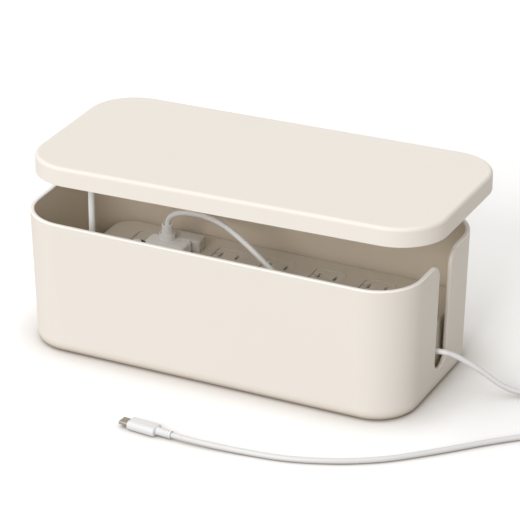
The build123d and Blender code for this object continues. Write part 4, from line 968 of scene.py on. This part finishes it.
@dataclass
class Plug:
    """The USB-C plug on the cable's end: strain relief, moulded body and metal shell."""

    cable_end: Point = (11.4, -146.2, 3.25)
    heading: float = 174.8
    relief_recess: float = 1.0
    relief_length: float = 11.4
    relief_foot: float = 3.0
    relief_tip: float = 2.8
    relief_bore: float = 2.35
    relief_grooves: int = 4
    groove_depth: float = 0.28
    groove_slope: float = 0.3
    body_length: float = 21.8
    body_size: tuple[float, float] = (6.5, 11.6)
    body_corner: float = 3.0
    body_softening: float = 0.9
    shell_size: tuple[float, float] = (2.56, 8.34)
    shell_corner: float = 1.2
    shell_wall: float = 0.3
    shell_reach: float = 7.0
    shell_seat: float = 3.0
    shell_rolled: float = 0.1

    def frame(self) -> Matrix:
        """Give the plug's own frame: Z to its tip, X up, with the origin at the strain relief's end.

        Returns:
            The matrix from that frame to the box's.
        """
        turn = math.radians(self.heading)
        ahead = Vector((math.cos(turn), math.sin(turn), 0.0))
        up = Vector((0.0, 0.0, 1.0))
        axes = Matrix((up, ahead.cross(up), ahead)).transposed().to_4x4()
        return Matrix.Translation((Vector(self.cable_end) - ahead * self.relief_recess) * MM) @ axes

    def bar(self, size: tuple[float, float], start: float, end: float, corner: float) -> Shape:
        """Shape a bar along the plug with rounded long edges.

        Args:
            size: its thickness and width.
            start: its distance from the strain relief's end.
            end: the distance of its far end.
            corner: the long edges' rounding.

        Returns:
            The mesh, in the plug's own frame.
        """
        shape = Shape()
        shape.block((-size[0] / 2, -size[1] / 2, start), (size[0] / 2, size[1] / 2, end))
        shape.round_edges(upright, corner, segments=8)
        return shape

    def relief(self) -> Shape:
        """Shape the strain relief with its shallow grooves.

        Returns:
            The mesh, in the plug's own frame.
        """
        span = self.relief_length / (2 * self.relief_grooves + 2)
        outline = [(self.relief_bore, self.relief_recess), (self.relief_bore, 0.0), (self.relief_tip, 0.0)]
        for groove in range(self.relief_grooves):
            start = span * (2 * groove + 1)
            radius = self.relief_tip + (self.relief_foot - self.relief_tip) * start / self.relief_length
            bed = radius - self.groove_depth
            outline += [(radius, start), (bed, start + self.groove_slope)]
            outline += [(bed, start + span - self.groove_slope), (radius, start + span)]
        outline += [(self.relief_foot, self.relief_length), (0.0, self.relief_length), (0.0, self.relief_recess)]
        shape = Shape()
        shape.turn(outline, (0.0, 0.0, 0.0), SMALL_TURN_STEPS)
        return shape

    def body(self) -> Shape:
        """Shape the moulded body with softened ends.

        Returns:
            The mesh, in the plug's own frame.
        """
        start, end = self.relief_length, self.relief_length + self.body_length
        shape = self.bar(self.body_size, start, end, self.body_corner)
        level = LEVEL_TOLERANCE * MM
        shape.round_edges(
            lambda edge: abs(edge.verts[0].co.z - edge.verts[1].co.z) < level, self.body_softening, segments=4
        )
        return shape

    def shell(self) -> Shape:
        """Shape the shell as a drawn tube with a rolled front edge.

        Returns:
            The mesh, in the plug's own frame.
        """
        start = self.relief_length + self.body_length - self.shell_seat
        end = start + self.shell_seat + self.shell_reach
        shape = self.bar(self.shell_size, start, end, self.shell_corner)
        ends = [face for face in shape.bm.faces if abs(face.normal.z) > END_SHARE]
        bmesh.ops.inset_region(shape.bm, faces=ends, thickness=self.shell_wall * MM, use_even_offset=True)
        holes = [face for face in shape.bm.faces if face in ends]
        loops = [edge for face in holes for edge in face.edges]
        bmesh.ops.delete(shape.bm, geom=holes, context="FACES_ONLY")
        bmesh.ops.bridge_loops(shape.bm, edges=loops)
        tip = (end - LEVEL_TOLERANCE) * MM
        shape.round_edges(lambda edge: all(vert.co.z > tip for vert in edge.verts), self.shell_rolled, segments=2)
        return shape

    def build(self, finishes: Finishes) -> None:
        """Build and dress the plug.

        Args:
            finishes: the finishes.
        """
        for node, shape, slot, finish in (
            ("usb_relief", self.relief(), "cable_jacket", "plug_white"),
            ("usb_overmould", self.body(), "white_plastic", "plug_white"),
            ("usb_shell", self.shell(), "nickel", "nickel"),
        ):
            shape.place(self.frame())
            stand_for(shape.finish(f"{node}_piece", finishes.made[finish]), node, Body.TUB)


# ---------------------------------------------------------------- stay, gland and button


@dataclass
class Stay:
    """The white rod that carries the lid."""

    middle: tuple[float, float] = (-109.0, -30.0)
    radius: float = 2.3
    bottom: float = 41.0
    top: float = 133.17
    seat_radius: float = 1.13
    seat_depth: float = 6.0
    softening: float = 0.3

    def build(self, finishes: Finishes) -> None:
        """Build the rod with softened ends and the seat of the ball stud.

        Args:
            finishes: the finishes.
        """
        seat = self.top - self.seat_depth
        shape = Shape()
        shape.turn(
            [
                (0.0, self.bottom), (self.radius, self.bottom), (self.radius, self.top),
                (self.seat_radius, self.top), (self.seat_radius, seat), (0.0, seat),
            ],
            (*self.middle, 0.0),
        )
        shape.soften(self.softening, sharper_than=60.0)
        rod = shape.finish("stay_rod_piece", finishes.made["white_gloss"])
        stand_for(rod, "stay_rod", Body.STAY)


@dataclass
class Gland:
    """The ribbed strain relief in the strip's front wall, for the strip's own cord."""

    middle: Point = (-98.0, 5.5, 20.0)
    wall: float = 2.4
    neck: float = 4.8
    flange: float = 6.5
    flange_thick: float = 2.0
    boot_length: float = 12.0
    boot_tip: float = 3.9
    bore: float = 3.2
    rib: float = 0.5
    ribs: int = 4
    softening: float = 0.18

    def outline(self) -> list[tuple[float, float]]:
        """List the outline's corners, from the inner flange to the boot's tip.

        Returns:
            Each corner's radius and place along the gland, in mm.
        """
        inside = -(self.wall + self.flange_thick)
        corners = [(self.bore, inside), (self.flange, inside), (self.flange, -self.wall), (self.neck, -self.wall)]
        corners += [(self.neck, 0.0), (self.flange, 0.0), (self.flange, self.flange_thick)]
        pitch = self.boot_length / self.ribs
        for number in range(self.ribs):
            radius = self.neck - (self.neck - self.boot_tip) * number / self.ribs
            start = self.flange_thick + number * pitch
            corners += [(radius - self.rib, start), (radius - self.rib, start + pitch / 2)]
            corners += [(radius, start + pitch / 2), (radius, start + pitch)]
        return corners + [(self.bore, self.flange_thick + self.boot_length)]

    def build(self, finishes: Finishes) -> None:
        """Build the gland and point it out of the strip's front.

        Args:
            finishes: the finishes.
        """
        shape = Shape()
        shape.turn(self.outline(), (0.0, 0.0, 0.0), SMALL_TURN_STEPS)
        shape.soften(self.softening, sharper_than=60.0, segments=2)
        shape.place(Matrix.Translation(Vector(self.middle) * MM) @ Matrix.Rotation(math.pi / 2, 4, "X"))
        gland = shape.finish("mains_gland_piece", finishes.made["white_plastic"])
        stand_for(gland, "mains_gland", Body.TUB)


@dataclass
class ResetButton:
    """The breaker's button with its dished top."""

    middle: tuple[float, float] = (-104.0, 27.5)
    radius: float = 3.5
    bottom: float = 41.1
    top: float = 49.3
    dish_radius: float = 2.4
    dish_slope: float = 0.7
    dish_depth: float = 0.4
    softening: float = 0.35

    def build(self, finishes: Finishes) -> None:
        """Build the button.

        Args:
            finishes: the finishes.
        """
        dish = self.top - self.dish_depth
        shape = Shape()
        shape.turn(
            [
                (0.0, self.bottom), (self.radius, self.bottom), (self.radius, self.top),
                (self.dish_radius, self.top), (self.dish_radius - self.dish_slope, dish), (0.0, dish),
            ],
            (*self.middle, 0.0),
            SMALL_TURN_STEPS,
        )
        shape.soften(self.softening, sharper_than=60.0)
        button = shape.finish("breaker_button_piece", finishes.made["white_plastic"])
        stand_for(button, "breaker_button", Body.BUTTON)


# ---------------------------------------------------------------- studio


@dataclass(frozen=True)
class Daylight:
    """A distant soft lamp."""

    name: str
    strength: float
    softness: float
    comes_from: Point
    colour: Colour

    def hang(self) -> None:
        """Put the lamp in the scene."""
        data = bpy.data.lights.new(self.name, "SUN")
        data.energy = self.strength
        data.color = self.colour
        data.angle = math.radians(self.softness)
        lamp = bpy.data.objects.new(self.name, data)
        bpy.context.scene.collection.objects.link(lamp)
        lamp.rotation_mode = "QUATERNION"
        lamp.rotation_quaternion = Vector(self.comes_from).to_track_quat("Z", "Y")


@dataclass
class Studio:
    """White floor, soft daylight from the upper left and from the front, and the camera.

    A lamp's direction is the way towards it. The camera's distance and target are in mm; its clip distances, the
    floor's size and the reach of the contact shadow are in metres.
    """

    azimuth: float = 25.65
    elevation: float = 26.25
    distance: float = 2433.28
    target: Point = (7.81, 1.96, 68.85)
    lens: float = 238.61
    sensor_width: float = 36.0
    clip: tuple[float, float] = (0.05, 60.0)
    key: Daylight = Daylight("key_daylight", 0.83, 60.0, (-0.55, -0.22, 0.81), (0.97, 0.985, 1.0))
    front: Daylight = Daylight("front_daylight", 1.6, 26.0, (-0.02, -0.89, 0.455), (0.98, 0.99, 1.02))
    floor_size: float = 8.0
    lit_floor: Colour = (0.46, 0.445, 0.425)
    seen_floor: float = 1.045
    contact_reach: float = 0.034
    contact_depth: float = 1.0
    contact_tone: Colour = (0.46, 0.405, 0.35)
    contact_samples: int = 12
    sky: float = 0.63
    sky_colour: Colour = (1.0, 0.983, 0.95)

    def camera(self) -> None:
        """Place the camera."""
        turn, rise = math.radians(self.azimuth), math.radians(self.elevation)
        back = Vector((math.sin(turn) * math.cos(rise), -math.cos(turn) * math.cos(rise), math.sin(rise)))
        data = bpy.data.cameras.new("camera")
        data.lens = self.lens
        data.sensor_width = self.sensor_width
        data.clip_start, data.clip_end = self.clip
        camera = bpy.data.objects.new("camera", data)
        bpy.context.scene.collection.objects.link(camera)
        camera.location = (Vector(self.target) + back * self.distance) * MM
        camera.rotation_mode = "QUATERNION"
        camera.rotation_quaternion = (-back).to_track_quat("-Z", "Y")
        bpy.context.scene.camera = camera

    def looked_at(self, nodes: Nodes) -> bpy.types.NodeSocket:
        """Tell the rays of the camera, of reflections and of glass from the rays of diffuse light.

        Args:
            nodes: the tree that asks.

        Returns:
            1 for a ray that shows the backdrop, 0 for one that lights the object.
        """
        path = nodes.add("ShaderNodeLightPath").outputs
        shown = nodes.maths("MAXIMUM", path["Is Camera Ray"], path["Is Glossy Ray"])
        return nodes.maths("MAXIMUM", shown, path["Is Transmission Ray"])

    def floor(self) -> None:
        """Lay the floor, white to the camera and plain to the light."""
        shape = Shape()
        bmesh.ops.create_grid(shape.bm, x_segments=1, y_segments=1, size=self.floor_size)
        material = bpy.data.materials.new("studio_floor")
        material.use_nodes = True
        nodes = Nodes(material.node_tree)
        shader = material.node_tree.nodes["Principled BSDF"]
        shader.inputs["Roughness"].default_value = 1.0
        shader.inputs["Specular IOR Level"].default_value = 0.0
        # Painted contact shadow: near the object, ambient occlusion darkens the floor's seen colour towards a brown
        # tone.
        near = nodes.add(
            "ShaderNodeAmbientOcclusion", {"Distance": self.contact_reach}, samples=self.contact_samples
        ).outputs["AO"]
        closeness = nodes.maths("MULTIPLY", nodes.maths("SUBTRACT", 1.0, near), self.contact_depth)
        seen = nodes.blend(closeness, (self.seen_floor,) * 3, self.contact_tone)
        tone = nodes.blend(self.looked_at(nodes), self.lit_floor, seen)
        material.node_tree.links.new(tone, shader.inputs["Base Color"])
        shape.finish("studio_floor", material)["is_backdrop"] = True

    def light(self) -> None:
        """Set the daylight and the surroundings."""
        self.key.hang()
        self.front.hang()
        world = bpy.data.worlds.new("surroundings")
        bpy.context.scene.world = world
        world.use_nodes = True
        nodes = Nodes(world.node_tree)
        back = world.node_tree.nodes["Background"]
        seen = self.looked_at(nodes)
        strength = nodes.add("ShaderNodeMapRange", {"Value": seen, "To Min": self.sky, "To Max": 1.0}).outputs[0]
        world.node_tree.links.new(strength, back.inputs["Strength"])
        world.node_tree.links.new(nodes.blend(seen, self.sky_colour, (1.0, 1.0, 1.0)), back.inputs["Color"])
        bpy.context.scene.view_settings.view_transform = "Standard"

    def build(self) -> None:
        """Set up the whole studio."""
        self.camera()
        self.floor()
        self.light()


def corners() -> list[list[float]]:
    """Measure the whole object as it stands.

    Returns:
        Its lowest and highest corner, as plain lists.
    """
    return [list(corner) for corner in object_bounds()]


def main() -> None:
    """Build the scene in order."""
    logging.basicConfig(level=logging.INFO, format="%(name)s: %(message)s")
    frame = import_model()
    Studio().build()
    finishes = Finishes()
    finishes.dress_nodes(frame)
    for part in (Stay(), Gland(), ResetButton(), Charger(), Plug()):
        part.build(finishes)
        LOG.info("built %s", type(part).__name__)
    cable = Cable().build(finishes)
    LOG.info("built %s", cable.name)


if __name__ == "__main__":
    main()
